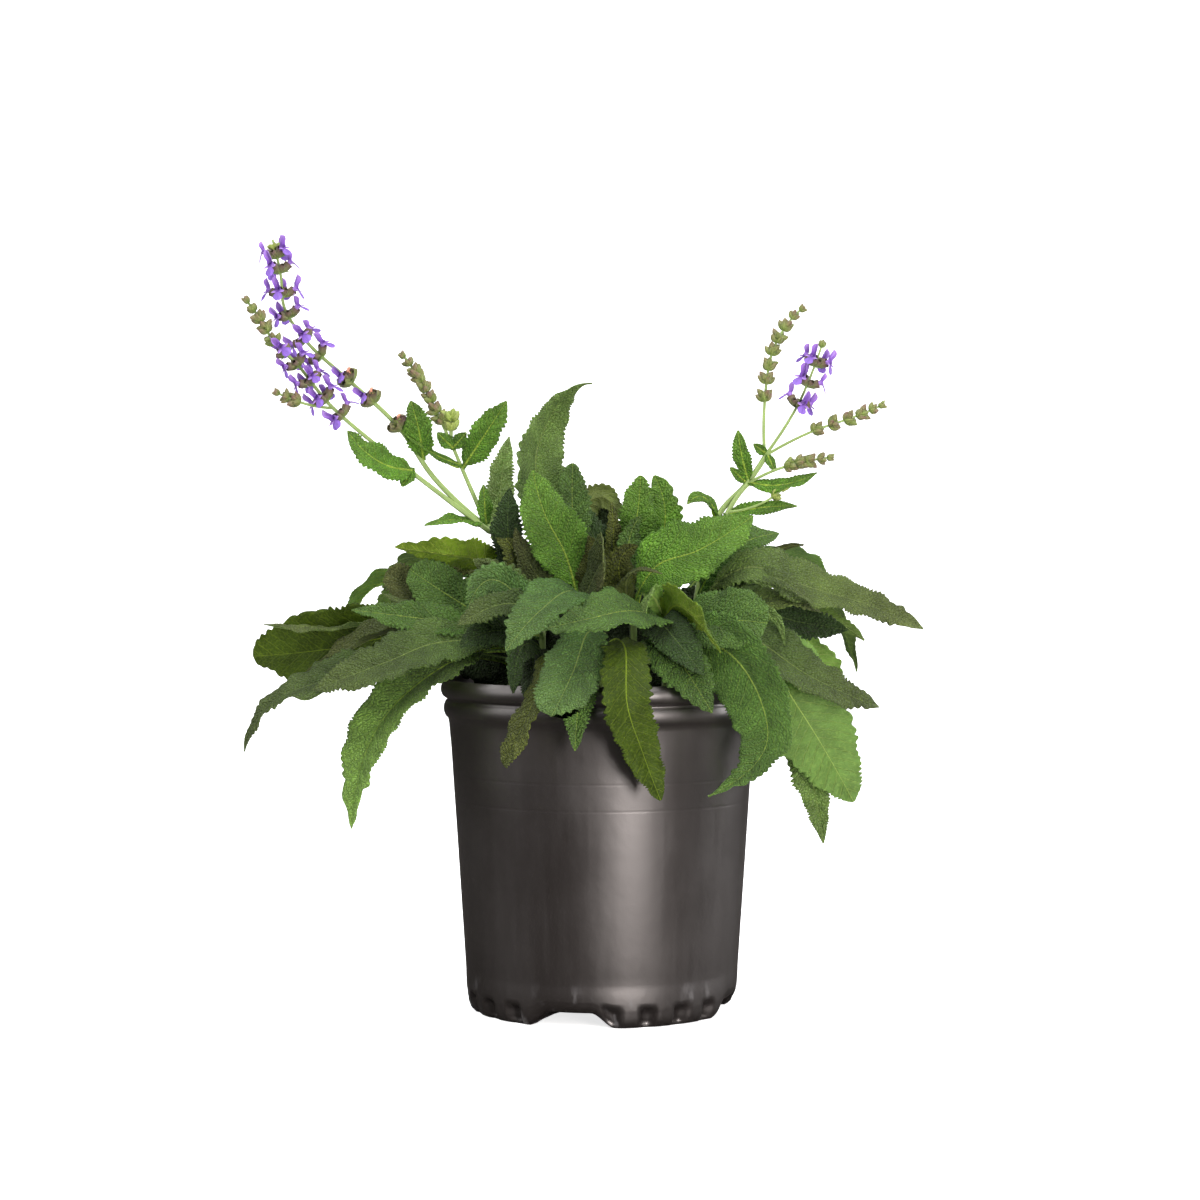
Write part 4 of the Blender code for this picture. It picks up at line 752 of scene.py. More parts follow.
def clear_of_stems(grid, layer, stems):
    """How far each point of a coarse blade has to move to pass the flowering stems, stem by stem."""
    for line in stems:
        gap = np.hypot(grid[:, None, 0] - line[None, :, 0], grid[:, None, 2] - line[None, :, 2])
        sign = 1 if layer > STEM_LAYER else -1
        depth = sign * (grid[:, None, 1] - line[None, :, 1]) + LAYER_GAP + STEM_HALF
        bad = (gap < LAYER_NEAR) & (depth > 0)
        yield np.nonzero(bad)[0], -sign * np.minimum(depth[bad], LAYER_PUSH)


def overlap(front, behind):
    """Where a coarse blade isn't far enough in front of another one: both points, and by how much."""
    for one, other in ((front, behind), (behind, front)):
        if (one.min(0) - LAYER_NEAR > other.max(0))[[0, 2]].any():
            return None
    gap = np.hypot(front[:, None, 0] - behind[None, :, 0], front[:, None, 2] - behind[None, :, 2])
    depth = front[:, None, 1] - behind[None, :, 1] + LAYER_GAP
    return (gap < LAYER_NEAR) & (depth > 0), depth


def bend_clear(leaves, stems):
    """Bends leaves of higher layers forward and those of lower layers back, until they pass each other."""
    across = (-1, 0, 1)
    stations = 15
    first = 2
    knots = [np.linspace(0, 1, len(leaf["points"])) for leaf in leaves]
    drawn = [[point[1] for point in leaf["points"]] for leaf in leaves]
    share = np.repeat(np.linspace(0, 1, stations)[first:], len(across))
    free = share > ROOT_SHARE
    lines = [smooth_line(points, 40) for points in stems]
    for _ in range(LAYER_ROUNDS):
        grids = [coarse_surface(leaf, stations, across)[first:].reshape(-1, 3) for leaf in leaves]
        push = [np.zeros(len(k)) for k in knots]
        weight = [np.zeros(len(k)) for k in knots]

        def shift(which, points, amounts):
            for s, amount in zip(share[points], amounts):
                near = np.maximum(0, 1 - np.abs(knots[which] - s) * (len(knots[which]) - 1))
                push[which] += near * amount
                weight[which] += near

        for i, front in enumerate(leaves):
            for points, amounts in clear_of_stems(grids[i], front["layer"], lines):
                shift(i, points, amounts)
            for j, behind in enumerate(leaves):
                met = overlap(grids[i], grids[j]) if front["layer"] > behind["layer"] else None
                if met is None:
                    continue
                bad, depth = met
                if front["piece"] == behind["piece"]:
                    bad &= free[:, None] & free[None, :]
                in_front, at_back = np.nonzero(bad)
                amount = np.minimum(depth[bad], LAYER_PUSH)
                shift(i, in_front, -amount)
                shift(j, at_back, amount)
            x, y, z = grids[i].T
            room = POT_CLEARANCE + RIM_RADIUS - np.hypot(x, y)
            low = np.nonzero((z < POT_HEIGHT + POT_CLEARANCE) & (room > 0) & (y < 0) & (share > 0.3))[0]
            shift(i, low, -np.minimum(room[low], LAYER_PUSH))
        for leaf, move, total, depths in zip(leaves, push, weight, drawn):
            step = np.clip(0.35 * move / np.maximum(total, 1e-6), -3, 3)
            for point, dy, depth in zip(leaf["points"][1:], step[1:], depths[1:]):
                point[1] = float(np.clip(point[1] + dy, depth - LAYER_REACH, depth + LAYER_REACH))


def linear(colour):
    """A colour as the eye sees it, 0 to 255, to the linear light that a shader takes."""
    share = np.asarray(colour, float) / 255
    return np.where(share <= 0.04045, share / 12.92, ((share + 0.055) / 1.055) ** 2.4)


def quilted_grid(leaf, line, share, along, half):
    """The middle surface of a blade, folded, waved, puffed between its veins and toothed along its edges.

    Gives its points, station by station, and the normals along the midrib."""
    side, normal = blade_frame(line, leaf["face"])
    fold = math.radians(leaf["fold"])
    phase = leaf["phase"]
    blade = np.clip((half - 1.5) / 4.5, 0, 1)
    wave = EDGE_WAVE * np.sin(share * 14 + phase) * np.clip(half / 8, 0, 1.4)
    ruffle = RUFFLE * np.sin(along / 2.9 + phase * 1.7) * np.clip(half / 9, 0, 1)
    tooth_pitch = TOOTH_PITCH * leaf["tooth"] * (1 + 0.12 * np.sin(along / 17 + phase))
    grid = np.empty((len(share), len(ACROSS), 3))
    for k, u in enumerate(ACROSS):
        tooth = (along / tooth_pitch + (0.35 if u > 0 else 0)) % 1
        notch = np.sin(math.pi * tooth**1.4) ** 0.8 - 0.6
        uneven = 1 + 0.45 * np.sin(along / 3.3 + phase * 3 + (2 if u > 0 else 0))
        lobe = np.sin(along / 2.4 + phase + u) * np.sin(along / 6.1 + phase * 2 - u)
        cut = TOOTH_DEPTH * leaf["tooth"] * notch * uneven * blade + LOBE_DEPTH * lobe * blade
        out = half * abs(u) + cut * max(0, (abs(u) - 0.68) / 0.32) ** 1.5
        vein = (along - abs(u) * half * VEIN_SLOPE) / VEIN_PITCH + (0.5 if u > 0 else 0)
        panel = np.abs(np.sin(math.pi * vein)) ** 0.8 - 0.5
        puff = PANEL_PUFF * panel * blade * math.sin(math.pi * min(abs(u), 1) ** 0.8) ** 0.7
        fine = 0.10 * np.sin(along * 3.1 + u * half * 2.3) * np.sin(u * half * 3.7 + along * 0.9) * blade
        rib = -0.35 * math.exp(-(abs(u) / 0.1) ** 2) * blade
        up = (half * (math.hypot(u, 0.07) - 0.07) * math.sin(fold) + wave * u * abs(u) + ruffle * abs(u) ** 3
              - 0.9 * blade * u**4 + puff + fine + rib)
        sideways = math.copysign(1, u) * out * math.cos(fold) * (u != 0)
        grid[:, k] = line + side * sideways[:, None] + normal * up[:, None]
    return grid, normal


def closed_faces(stations, columns):
    """Quads for a blade's upper side, underside and edges, and the material slot of each."""
    index = np.arange(stations * columns).reshape(stations, columns)
    under = index + stations * columns
    upper_side = np.stack([index[:-1, :-1], index[1:, :-1], index[1:, 1:], index[:-1, 1:]], -1).reshape(-1, 4)
    underside = upper_side[:, ::-1] + stations * columns
    left = np.stack([index[:-1, 0], under[:-1, 0], under[1:, 0], index[1:, 0]], -1)
    right = np.stack([index[:-1, -1], index[1:, -1], under[1:, -1], under[:-1, -1]], -1)
    tip = np.stack([index[-1, :-1], under[-1, :-1], under[-1, 1:], index[-1, 1:]], -1)
    foot = np.stack([index[0, :-1], index[0, 1:], under[0, 1:], under[0, :-1]], -1)
    sides = [upper_side, underside, left, right, tip, foot]
    slots = [UNDER_SLOT if side is underside else UPPER_SLOT for side in sides]
    return np.concatenate(sides), np.repeat(slots, [len(side) for side in sides])


def leaf_colours(leaf, share, along):
    """The tint of each point, upper side first, and the midrib's colour there."""
    base, end, back, rib = (linear(colour) for colour in LOOKS[leaf["look"]])
    shade = random.Random(int(leaf["phase"] * 10)).uniform(0.9, 1.1)
    blend = np.clip((share - 0.35) / 0.55, 0, 1)[:, None, None]
    patch = 1 + 0.10 * np.sin(along / 9 + leaf["phase"])[:, None, None] * np.ones((1, len(ACROSS), 1))
    upper = (base * (1 - blend) + end * blend) * patch * shade
    under = np.broadcast_to(back, upper.shape) * patch * shade
    tint = np.concatenate([upper.reshape(-1, 3), under.reshape(-1, 3)])
    return tint, np.broadcast_to(rib * shade, tint.shape)


def fine_blade(leaf, pitch=FINE_PITCH):
    """A thin closed blade with its stalk, and what its materials read at each point: the tint, the midrib's
    colour, centimetres along and across for the veins, and the shares of the length and of the width."""
    length = length_of(smooth_line(leaf["points"], 60))
    stations = int(np.clip(length / pitch, 16, 220))
    line = smooth_line(leaf["points"], stations)
    share = np.linspace(0, 1, stations)
    along = share * length
    half = half_widths(share, leaf) * FULLER
    grid, normal = quilted_grid(leaf, line, share, along, half)
    stalk_thick, leaf_thick = STALK_THICKNESS, LEAF_THICKNESS
    thick = np.interp(share, (0, 0.14, 0.3, 0.9, 1),
                      (stalk_thick, stalk_thick * 0.9, leaf_thick * 1.4, leaf_thick, leaf_thick * 0.6))
    ridge = np.array([1 + 1.6 * math.exp(-(abs(u) / 0.09) ** 2) for u in ACROSS])
    upper = grid + normal[:, None] * (thick / 2)[:, None, None]
    under = grid - normal[:, None] * ((thick / 2)[:, None] * ridge[None, :])[:, :, None]
    points = np.concatenate([upper.reshape(-1, 3), under.reshape(-1, 3)]) * MM
    quads, material = closed_faces(stations, len(ACROSS))
    tint, rib = leaf_colours(leaf, share, along)
    widths = np.array(ACROSS)[None, :] * half[:, None]
    surface = np.stack([np.broadcast_to(along[:, None], widths.shape), widths], -1).reshape(-1, 2) / 10
    surface = surface + leaf["phase"] * 0.64 * 10 * np.array([1, 0])
    shares = np.broadcast_to(share[:, None], widths.shape).reshape(-1)
    edges = np.broadcast_to(np.abs(np.array(ACROSS))[None, :], widths.shape).reshape(-1)
    return dict(points=points, quads=quads, material=material, tint=tint, rib=rib,
                surface=np.tile(surface, (2, 1)), share=np.tile(shares, 2), edge=np.tile(edges, 2))


def joined_mesh(name, solids):
    """One mesh from several sets of points and quads, with their tints and surface coordinates."""
    offsets = np.cumsum([0] + [len(solid["points"]) for solid in solids])
    points = np.concatenate([solid["points"] for solid in solids])
    points = np.clip(points, np.array(cad_box[0]) + 0.2 * MM, np.array(cad_box[1]) - 0.2 * MM)
    quads = np.concatenate([solid["quads"] + offset for solid, offset in zip(solids, offsets)])
    mesh = bpy.data.meshes.new(name)
    mesh.vertices.add(len(points))
    mesh.vertices.foreach_set("co", points.astype(np.float32).ravel())
    mesh.loops.add(quads.size)
    mesh.loops.foreach_set("vertex_index", quads.astype(np.int32).ravel())
    mesh.polygons.add(len(quads))
    mesh.polygons.foreach_set("loop_start", np.arange(0, quads.size, 4, dtype=np.int32))
    mesh.polygons.foreach_set("material_index",
                              np.concatenate([solid["material"] for solid in solids]).astype(np.int32))
    for key in ("tint", "rib"):
        colours = np.concatenate([solid[key] for solid in solids])
        layer = mesh.color_attributes.new(key, "FLOAT_COLOR", "POINT")
        layer.data.foreach_set("color", np.concatenate([colours, np.ones((len(colours), 1))], 1)
                               .astype(np.float32).ravel())
    for key in ("share", "edge"):
        layer = mesh.attributes.new(key, "FLOAT", "POINT")
        layer.data.foreach_set("value", np.concatenate([solid[key] for solid in solids]).astype(np.float32))
    surface = np.concatenate([solid["surface"] for solid in solids])
    layer = mesh.uv_layers.new(name="surface")
    layer.data.foreach_set("uv", surface[quads.ravel()].astype(np.float32).ravel())
    mesh.update(calc_edges=True)
    mesh.validate()
    mesh.shade_smooth()
    return mesh


def painted(tree, name, output="Color"):
    """What a mesh carries at each point: a colour, or with "Fac" a plain number."""
    made = tree.nodes.new("ShaderNodeAttribute")
    made.attribute_name = name
    return made.outputs[output]


def laid_out(tree):
    """The flat coordinate that a mesh carries over its surface."""
    made = tree.nodes.new("ShaderNodeUVMap")
    made.uv_map = "surface"
    return made.outputs[0]


def cells(tree, vector, scale):
    """Distance from the middle of the nearest cell of a flat net."""
    made = tree.nodes.new("ShaderNodeTexVoronoi")
    made.voronoi_dimensions = "2D"
    made.feature = "F1"
    made.inputs["Scale"].default_value = scale
    tree.links.new(vector, made.inputs["Vector"])
    return made.outputs["Distance"]


def vein_group():
    """Masks of a leaf's midrib, side veins and net of small veins, and the height of the panels in it."""
    group = bpy.data.node_groups.new("leaf_veins", "ShaderNodeTree")
    for name, kind in (("Surface", "Vector"), ("Share", "Float"), ("Edge", "Float")):
        group.interface.new_socket(name, in_out="INPUT", socket_type="NodeSocket" + kind)
    for name in ("Midrib", "Side Veins", "Net", "Panels"):
        group.interface.new_socket(name, in_out="OUTPUT", socket_type="NodeSocketFloat")
    given = group.nodes.new("NodeGroupInput").outputs
    put = group.nodes.new("NodeGroupOutput").inputs
    parts = group.nodes.new("ShaderNodeSeparateXYZ")
    group.links.new(given["Surface"], parts.inputs[0])
    along, across = parts.outputs["X"], parts.outputs["Y"]
    away = node_math(group, "ABSOLUTE", across)
    right = node_math(group, "GREATER_THAN", across, 0.0)
    wobble = node_noise(group, given["Surface"], 2.2, 3)
    climbed = plus(group, less(group, along, times(group, away, VEIN_SLOPE)), times(group, wobble, 0.16))
    turn = plus(group, node_math(group, "DIVIDE", climbed, VEIN_PITCH / 10), times(group, right, 0.5))
    cut = node_math(group, "ABSOLUTE", less(group, node_math(group, "FRACT", turn), 0.5))
    side = times(group, node_range(group, cut, 0.42, 0.475), node_range(group, given["Edge"], 1.0, 0.72))
    rib_half = node_range(group, given["Share"], 0.1, 1.0, 0.07, 0.016)
    midrib = node_range(group, node_math(group, "DIVIDE", away, rib_half), 1.0, 0.55)
    outward = plus(group, times(group, along, VEIN_SLOPE), away)
    slanted = group.nodes.new("ShaderNodeCombineXYZ")
    group.links.new(times(group, climbed, 0.78), slanted.inputs["X"])
    group.links.new(times(group, outward, 0.56), slanted.inputs["Y"])
    coarse = cells(group, slanted.outputs[0], 8.2)
    fine = cells(group, slanted.outputs[0], 14.0)
    panels = plus(group, node_range(group, coarse, 0.66, 0.08),
                  times(group, node_range(group, fine, 0.62, 0.1), 0.3))
    group.links.new(midrib, put["Midrib"])
    group.links.new(side, put["Side Veins"])
    group.links.new(node_range(group, coarse, 0.42, 0.62), put["Net"])
    group.links.new(panels, put["Panels"])
    return group


def mixed_shader(tree, factor, first, second):
    made = tree.nodes.new("ShaderNodeMixShader")
    feed(tree, made.inputs[0], factor)
    tree.links.new(first.outputs[0], made.inputs[1])
    tree.links.new(second.outputs[0], made.inputs[2])
    return made


def let_light_through(tree, shader, colour, share):
    """Lets a share of the light that falls on a thin leaf or petal come out behind it, in a colour."""
    through = tree.nodes.new("ShaderNodeBsdfTranslucent")
    tree.links.new(colour, through.inputs["Color"])
    both = mixed_shader(tree, share, shader, through)
    tree.links.new(both.outputs[0], tree.nodes["Material Output"].inputs["Surface"])


def leaf_material(name, veins, upper):
    """Upper side: sunken net, its grooves darkened as painted shade and its puffs lightened as painted
    highlight, grey down. Underside: paler and matt, its net and ribs standing out.
    """
    material, tree, shader = new_material(name, 0.55, Specular_IOR_Level=0.22 if upper else 0.15,
                                          Sheen_Weight=0.04, Sheen_Roughness=0.5)
    surface = laid_out(tree)
    rib = painted(tree, "rib")
    veined = tree.nodes.new("ShaderNodeGroup")
    veined.node_tree = veins
    tree.links.new(surface, veined.inputs["Surface"])
    tree.links.new(painted(tree, "share", "Fac"), veined.inputs["Share"])
    tree.links.new(painted(tree, "edge", "Fac"), veined.inputs["Edge"])
    midrib, side_veins, net, panels = veined.outputs[:4]
    blotch = node_range(tree, node_noise(tree, surface, 1.1, 3), 0.3, 0.7, 0.82, 1.16)
    base = tinted(tree, painted(tree, "tint"), blotch)
    if upper:
        # Painted shade and highlight: the net's grooves are darkened and the puffs between lightened,
        # standing for the shading of the quilted relief; the greyer lift on the puffs also stands for the
        # down.
        colour = node_mix(tree, node_range(tree, panels, 0.25, 1.1), tinted(tree, base, (0.72, 0.74, 0.62)),
                          tinted(tree, base, (1.14, 1.14, 1.20)))
        colour = node_mix(tree, times(tree, side_veins, 0.14), colour, rib)
        colour = node_mix(tree, times(tree, midrib, 0.7), colour, rib)
        height = less(tree, less(tree, panels, times(tree, side_veins, 0.8)), times(tree, midrib, 0.9))
        bump(tree, shader, height, 1.0, 0.0015)
    else:
        colour = node_mix(tree, times(tree, net, 0.16), tinted(tree, base, (0.90, 0.92, 0.88)), rib)
        colour = node_mix(tree, times(tree, side_veins, 0.3), colour, rib)
        colour = node_mix(tree, times(tree, midrib, 0.95), colour, rib)
        height = plus(tree, plus(tree, times(tree, net, 0.5), times(tree, side_veins, 0.9)),
                      times(tree, midrib, 1.2))
        bump(tree, shader, height, 0.9, 0.0008)
    tree.links.new(colour, shader.inputs["Base Color"])
    let_light_through(tree, shader, tinted(tree, colour, (1.15, 1.25, 0.5)), 0.28)
    return material


def square_tube(points, foot_radius, tip_radius, count, tint, sides=12):
    """A square stem with rounded corners and hollow flanks."""
    line = smooth_line(points, count)
    side, normal = blade_frame(line, STEM_FACE)
    radius = np.linspace(foot_radius, tip_radius, count)
    turns = np.arange(sides) * 2 * math.pi / sides + math.pi / 4
    shape = 0.86 + 0.13 * np.cos(4 * (turns - math.pi / 4))
    ring = (side[:, None] * np.cos(turns)[None, :, None] + normal[:, None] * np.sin(turns)[None, :, None])
    points = (line[:, None] + ring * (radius[:, None] * shape[None, :])[:, :, None]).reshape(-1, 3)
    index = np.arange(count * sides).reshape(count, sides)
    after = np.roll(index, -1, 1)
    quads = np.stack([index[:-1], after[:-1], after[1:], index[1:]], -1).reshape(-1, 4)
    half = sides // 2
    caps = []
    for row, flip in ((index[0], True), (index[-1], False)):
        for k in range(half - 1):
            quad = [row[k], row[k + 1], row[sides - 2 - k], row[sides - 1 - k]]
            caps.append(quad[::-1] if flip else quad)
    quads = np.concatenate([quads, np.array(caps)])
    along = np.linspace(0, length_of(line), count) / 10
    surface = np.stack([np.repeat(along, sides), np.tile(turns, count) * 0.2], -1)
    share = np.repeat(np.linspace(0, 1, count), sides)
    colour = np.broadcast_to(linear(tint), (len(points), 3))
    corner = np.tile(0.92 + 0.16 * np.cos(4 * (turns - math.pi / 4)), count)[:, None]
    return dict(points=points * MM, quads=quads, material=np.full(len(quads), STEM_SLOT),
                tint=colour * corner, rib=colour, surface=surface, share=share, edge=share)


def stem_material():
    """Pale green stem, downy, with fine lengthwise ribs."""
    material, tree, shader = new_material("green_stem", 0.5, Specular_IOR_Level=0.35, Sheen_Weight=0.1)
    streaks = node_noise(tree, laid_out(tree), 9, 3, (0.12, 4, 1))
    tree.links.new(tinted(tree, painted(tree, "tint"), node_range(tree, streaks, 0.3, 0.7, 0.8, 1.2)),
                   shader.inputs["Base Color"])
    bump(tree, shader, streaks, 0.4, 0.0003)
    return material


veins = vein_group()
leaf_upper = leaf_material("leaf_upper", veins, True)
leaf_under = leaf_material("leaf_underside", veins, False)
green_stem = stem_material()
leaves = [seen_leaf(index, *row) for index, row in enumerate(LEAVES)]
bend_clear(leaves, list(MAIN_STEMS.values()))
leaves += back_leaves(len(leaves))
leaves += inner_leaves(len(leaves))
for name, (x, y, top) in SHOOTS.items():
    solids = [fine_blade(leaf, BACK_FINE_PITCH if leaf["layer"] == 0 else FINE_PITCH)
              for leaf in leaves if leaf["piece"] == name]
    solids.append(square_tube([(x, y, STEM_SEEN_FROM), (x, y, (STEM_FOOT + top) / 2), (x, y, top + 2)],
                              SHOOT_RADIUS, SHOOT_RADIUS * 0.8, 14, SHOOT_GREEN))
    shoot = add_piece("shoot_" + name, joined_mesh("shoot_" + name, solids),
                      [leaf_upper, leaf_under, green_stem])
    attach(shoot, "root")
    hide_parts("leafy_shoot_" + name)


# Flowering stems
# Two branched square stems with pairs of small leaves. Up each branch stand whorls: green bracts, ribbed bell
# calyces that turn purple-brown, and violet flowers with an arched hood over a spreading lower lip.

# Branches of each piece: radius at the foot, radius at the tip, and the points that each passes.
BRANCHES = {
    "flower_left": {
        "left_main": (2.2, 2.0, MAIN_STEMS["left_main"]),
        "left_tall": (1.7, 0.7, [(-58, 14, 245), (-86, 12, 271), (-104, 8, 297), (-128, 4, 320),
                                 (-150, 2, 340), (-162, 0, 358), (-164, 0, 375), (-168, 0, 393)]),
        "left_second": (1.6, 0.7, [(-58, 13, 244), (-93, 2, 271), (-120, -2, 292), (-139, -4, 309),
                                   (-155, -6, 329), (-167, -8, 341), (-173, -8, 351), (-181, -8, 362)]),
        "left_short": (1.5, 1.0, [(-58, 14, 244), (-70, 18, 271), (-78, 17, 290)]),
        "left_short_spike": (1.0, 0.7, [(-78, 17, 289), (-84, 16, 303), (-96, 15, 326), (-103, 14, 335)]),
        "left_green_bud": (1.0, 1.4, [(-78, 17, 289), (-78, 16, 304)]),
        "left_side_spike": (0.9, 0.6, [(-138, -4, 307), (-151, -8, 309), (-166, -10, 315)]),
    },
    "flower_right": {
        "right_main": (2.1, 1.6, MAIN_STEMS["right_main"]),
        "right_twin": (1.8, 1.4, MAIN_STEMS["right_twin"]),
        "right_upright": (1.0, 0.6, [(84, 13, 283), (84, 14, 311), (88, 12, 337), (98, 11, 354),
                                     (104, 10, 359)]),
        "right_violet": (1.0, 0.6, [(84, 13, 283), (100, 6, 308), (109, 4, 329), (113, 4, 341)]),
        "right_outer": (1.0, 0.6, [(84, 13, 283), (107, 6, 295), (130, 2, 303), (144, 0, 309)]),
        "right_low_spike": (1.0, 0.7, [(76, 13, 269), (93, 6, 277), (118, 2, 282)]),
        "right_pale_spike": (0.9, 0.7, [(64, 11, 254), (81, 6, 258), (94, 4, 267)]),
    },
}

# Whorls, from the tip of each branch down: their kind, the flowers in a ring, and how far each ring stands
# below the tip. Few means one open flower and one withered one among closed calyces.
WHORLS = {
    "left_tall": [("green", 3, (5,)), ("open", 3, (10, 17)), ("open", 4, (30,)), ("open", 3, (41, 56)),
                  ("open", 2, (67,)), ("few", 3, (86, 102)), ("spent", 3, (121,))],
    "left_second": [("bud", 3, (2, 7, 12, 18, 25)), ("open", 2, (35,)), ("open", 3, (44,)),
                    ("open", 4, (55, 66)), ("open", 3, (78,))],
    "left_short_spike": [("bud", 3, (1, 6, 11, 16, 21, 27, 33, 39))],
    "left_green_bud": [("green", 3, (2, 7))],
    "left_side_spike": [("bud", 3, (2, 7, 12))],
    "right_upright": [("bud", 3, (2, 8, 14, 21, 28, 36, 43, 52))],
    "right_violet": [("bud", 3, (2,)), ("open", 4, (13,)), ("open", 3, (24, 36))],
    "right_outer": [("bud", 3, (2, 7, 13, 20, 28, 37))],
    "right_low_spike": [("bud", 3, (2, 7, 12, 17, 23))],
    "right_pale_spike": [("green", 3, (2, 8))],
}

# Leaves on the flowering stems: the piece, the width, the way the upper side faces, and the points.
STEM_LEAVES = [
    ("flower_left", 17, (0.3, -0.8, 0.6), [(-96, 1, 275), (-114, -8, 280), (-129, -12, 295)]),
    ("flower_left", 14, (-0.1, -0.9, 0.2), [(-92, 11, 281), (-94, 6, 296), (-98, 4, 311)]),
    ("flower_left", 6, (0.2, -0.5, 0.8), [(-73, 18, 278), (-85, 10, 283), (-103, 5, 296)]),
    ("flower_left", 15, (0.2, -0.9, 0.3), [(-72, 18, 277), (-61, 12, 293), (-49, 8, 311)]),
    ("flower_left", 8, (-0.3, -0.8, 0), [(-97, 1, 276), (-102, -3, 267)]),
    ("flower_left", 7, (0, -0.9, 0.3), [(-77, 17, 287), (-85, 13, 295)]),
    ("flower_left", 7, (0, -0.9, 0.3), [(-77, 17, 287), (-70, 13, 295)]),
    ("flower_left", 10, (0.1, -0.4, 0.9), [(-60, 14, 247), (-74, 7, 250), (-91, 3, 247)]),
    ("flower_left", 8, (0.4, -0.8, 0), [(-60, 14, 246), (-61, 8, 268)]),
    ("flower_right", 9, (-0.3, -0.9, 0.1), [(76, 14, 270), (72, 9, 283), (70, 8, 296)]),
    ("flower_right", 5, (-0.3, -0.9, 0.1), [(75, 14, 269), (66, 10, 277)]),
    ("flower_right", 9, (0, -0.7, 0.7), [(76, 13, 269), (93, 4, 268), (110, 0, 274)]),
    ("flower_right", 8, (0.1, -0.8, 0.5), [(63, 12, 252), (80, 6, 256), (100, 4, 257)]),
    ("flower_right", 9, (-0.2, -0.6, 0.7), [(60, 15, 251), (51, 9, 262), (44, 7, 258)]),
    ("flower_right", 5, (0.3, -0.9, 0.2), [(85, 13, 284), (89, 9, 275)]),
    ("flower_right", 5, (-0.3, -0.9, 0.2), [(85, 13, 284), (78, 9, 289)]),
]
STEM_LEAF_PITCH = 0.5
STEM_LEAF_PHASE = 1.7
WHORL_SEED = 31
WHORL_TWIST = 0.9
BRANCH_STEPS = 200
GREEN_BUD_SIZE = 1.15
STEM_GREEN = (128, 150, 84)
CALYX_LENGTH = 6.6
BUD_LENGTH = 5.6
HOOD_LENGTH = 5.6
LIP_LENGTH = 5.0
LOBE_LENGTH = 3.4
CALYX_GREEN = (108, 132, 56)
CALYX_PURPLE = (98, 74, 70)
BUD_GREEN = (136, 154, 70)
BUD_BROWN = (112, 88, 70)
VIOLET = (118, 74, 170)
VIOLET_LIGHT = (178, 142, 214)
LIP_VIOLET = (142, 108, 204)
SPENT = (206, 132, 104)
SPENT_TIP = (232, 178, 150)
BRACT_TIP = (92, 126, 52)
STYLE_VIOLET = (176, 140, 214)

# Radii up a bell or a bud, and widths along a petal, in millimetres.
OPEN_CALYX = (0.5, 1.4, 1.9, 2.05, 2.2)
SPENT_CALYX = (0.5, 1.4, 1.9, 2.0, 2.1)
CLOSED_CALYX = (0.6, 1.5, 1.9, 2.0, 1.9, 1.5)
YOUNG_CALYX = (0.4, 1.2, 1.6, 1.5, 0.9)
BUD = (0.5, 1.2, 1.4, 1.3, 0.9, 0.2)
TUBE = (0.9, 1.15, 1.5, 1.7)
HOOD_WIDTHS = (2.6, 3.0, 3.3, 3.4, 3.1, 2.6, 1.8, 0.7)
LIP_WIDTHS = (1.6, 2.0, 2.7, 3.8, 4.8, 5.0, 3.9, 1.6)
LOBE_WIDTHS = (1.4, 1.8, 2.2, 2.4, 2.3, 2.0, 1.4, 0.4)
SCRAP_WIDTHS = (1.8, 2.2, 1.8, 2.4, 1.4, 0.3)
BRACT_WIDTHS = (0.3, 0.7, 0.74, 0.6, 0.36, 0.04)
PETAL_ACROSS = (-1, -0.6, -0.2, 0.2, 0.6, 1)


def sheet(rows, tints, material):
    """A skin from a grid of points, rows by columns by 3, with one tint for each point."""
    rows = np.asarray(rows, float)
    count, columns = rows.shape[:2]
    index = np.arange(count * columns).reshape(count, columns)
    quads = np.stack([index[:-1, :-1], index[:-1, 1:], index[1:, 1:], index[1:, :-1]], -1).reshape(-1, 4)
    share = np.repeat(np.linspace(0, 1, count), columns)
    surface = np.stack([share, np.tile(np.linspace(0, 1, columns), count)], -1)
    tint = np.asarray(tints, float).reshape(-1, 3)
    return dict(points=rows.reshape(-1, 3) * MM, quads=quads, material=np.full(len(quads), material),
                tint=tint, rib=tint, surface=surface, share=share, edge=share)


def bell(place, way, side, length, radii, tints, ribs=0.0, sides=10):
    """A ribbed round body along a direction: a calyx, a bud or a flower's tube."""
    across = np.cross(way, side)
    rows, colours = [], []
    for i, radius in enumerate(radii):
        share = i / (len(radii) - 1)
        ring = []
        for k in range(sides + 1):
            turn = 2 * math.pi * k / sides
            reach = radius * (1 + ribs * (k % 2))
            out = side * math.cos(turn) + across * math.sin(turn)
            ring.append(place + way * length * share + out * reach)
        rows.append(ring)
        colour = linear(tints[0]) * (1 - share) + linear(tints[1]) * share
        colours.append([colour * (1 - 0.25 * (k % 2 == 0) * (ribs > 0)) for k in range(sides + 1)])
    return sheet(rows, colours, STEM_SLOT)


def petal(path, widths, side, up, cup, tints, slot):
    """A petal or a bract along a path: widths across it, and how far its edges cup up or down."""
    rows, colours = [], []
    for i, (point, width) in enumerate(zip(path, widths)):
        share = i / (len(path) - 1)
        rows.append([point + side * width / 2 * u + up * cup * width * (u * u - 0.4) for u in PETAL_ACROSS])
        colour = linear(tints[0]) * (1 - share) + linear(tints[1]) * share
        colours.append([colour * (1.12 - 0.2 * (1 - abs(u))) for u in PETAL_ACROSS])
    return sheet(rows, colours, slot)


def round_stem(ahead, start, turn):
    """The direction out from a stem at an angle round it."""
    return start * math.cos(turn) + np.cross(ahead, start) * math.sin(turn)


def frame_on_stem(way, ahead):
    """The direction across what grows out of a stem along way, and the one that is up for it."""
    side = unit(np.cross(way, ahead))
    return side, np.cross(side, way)


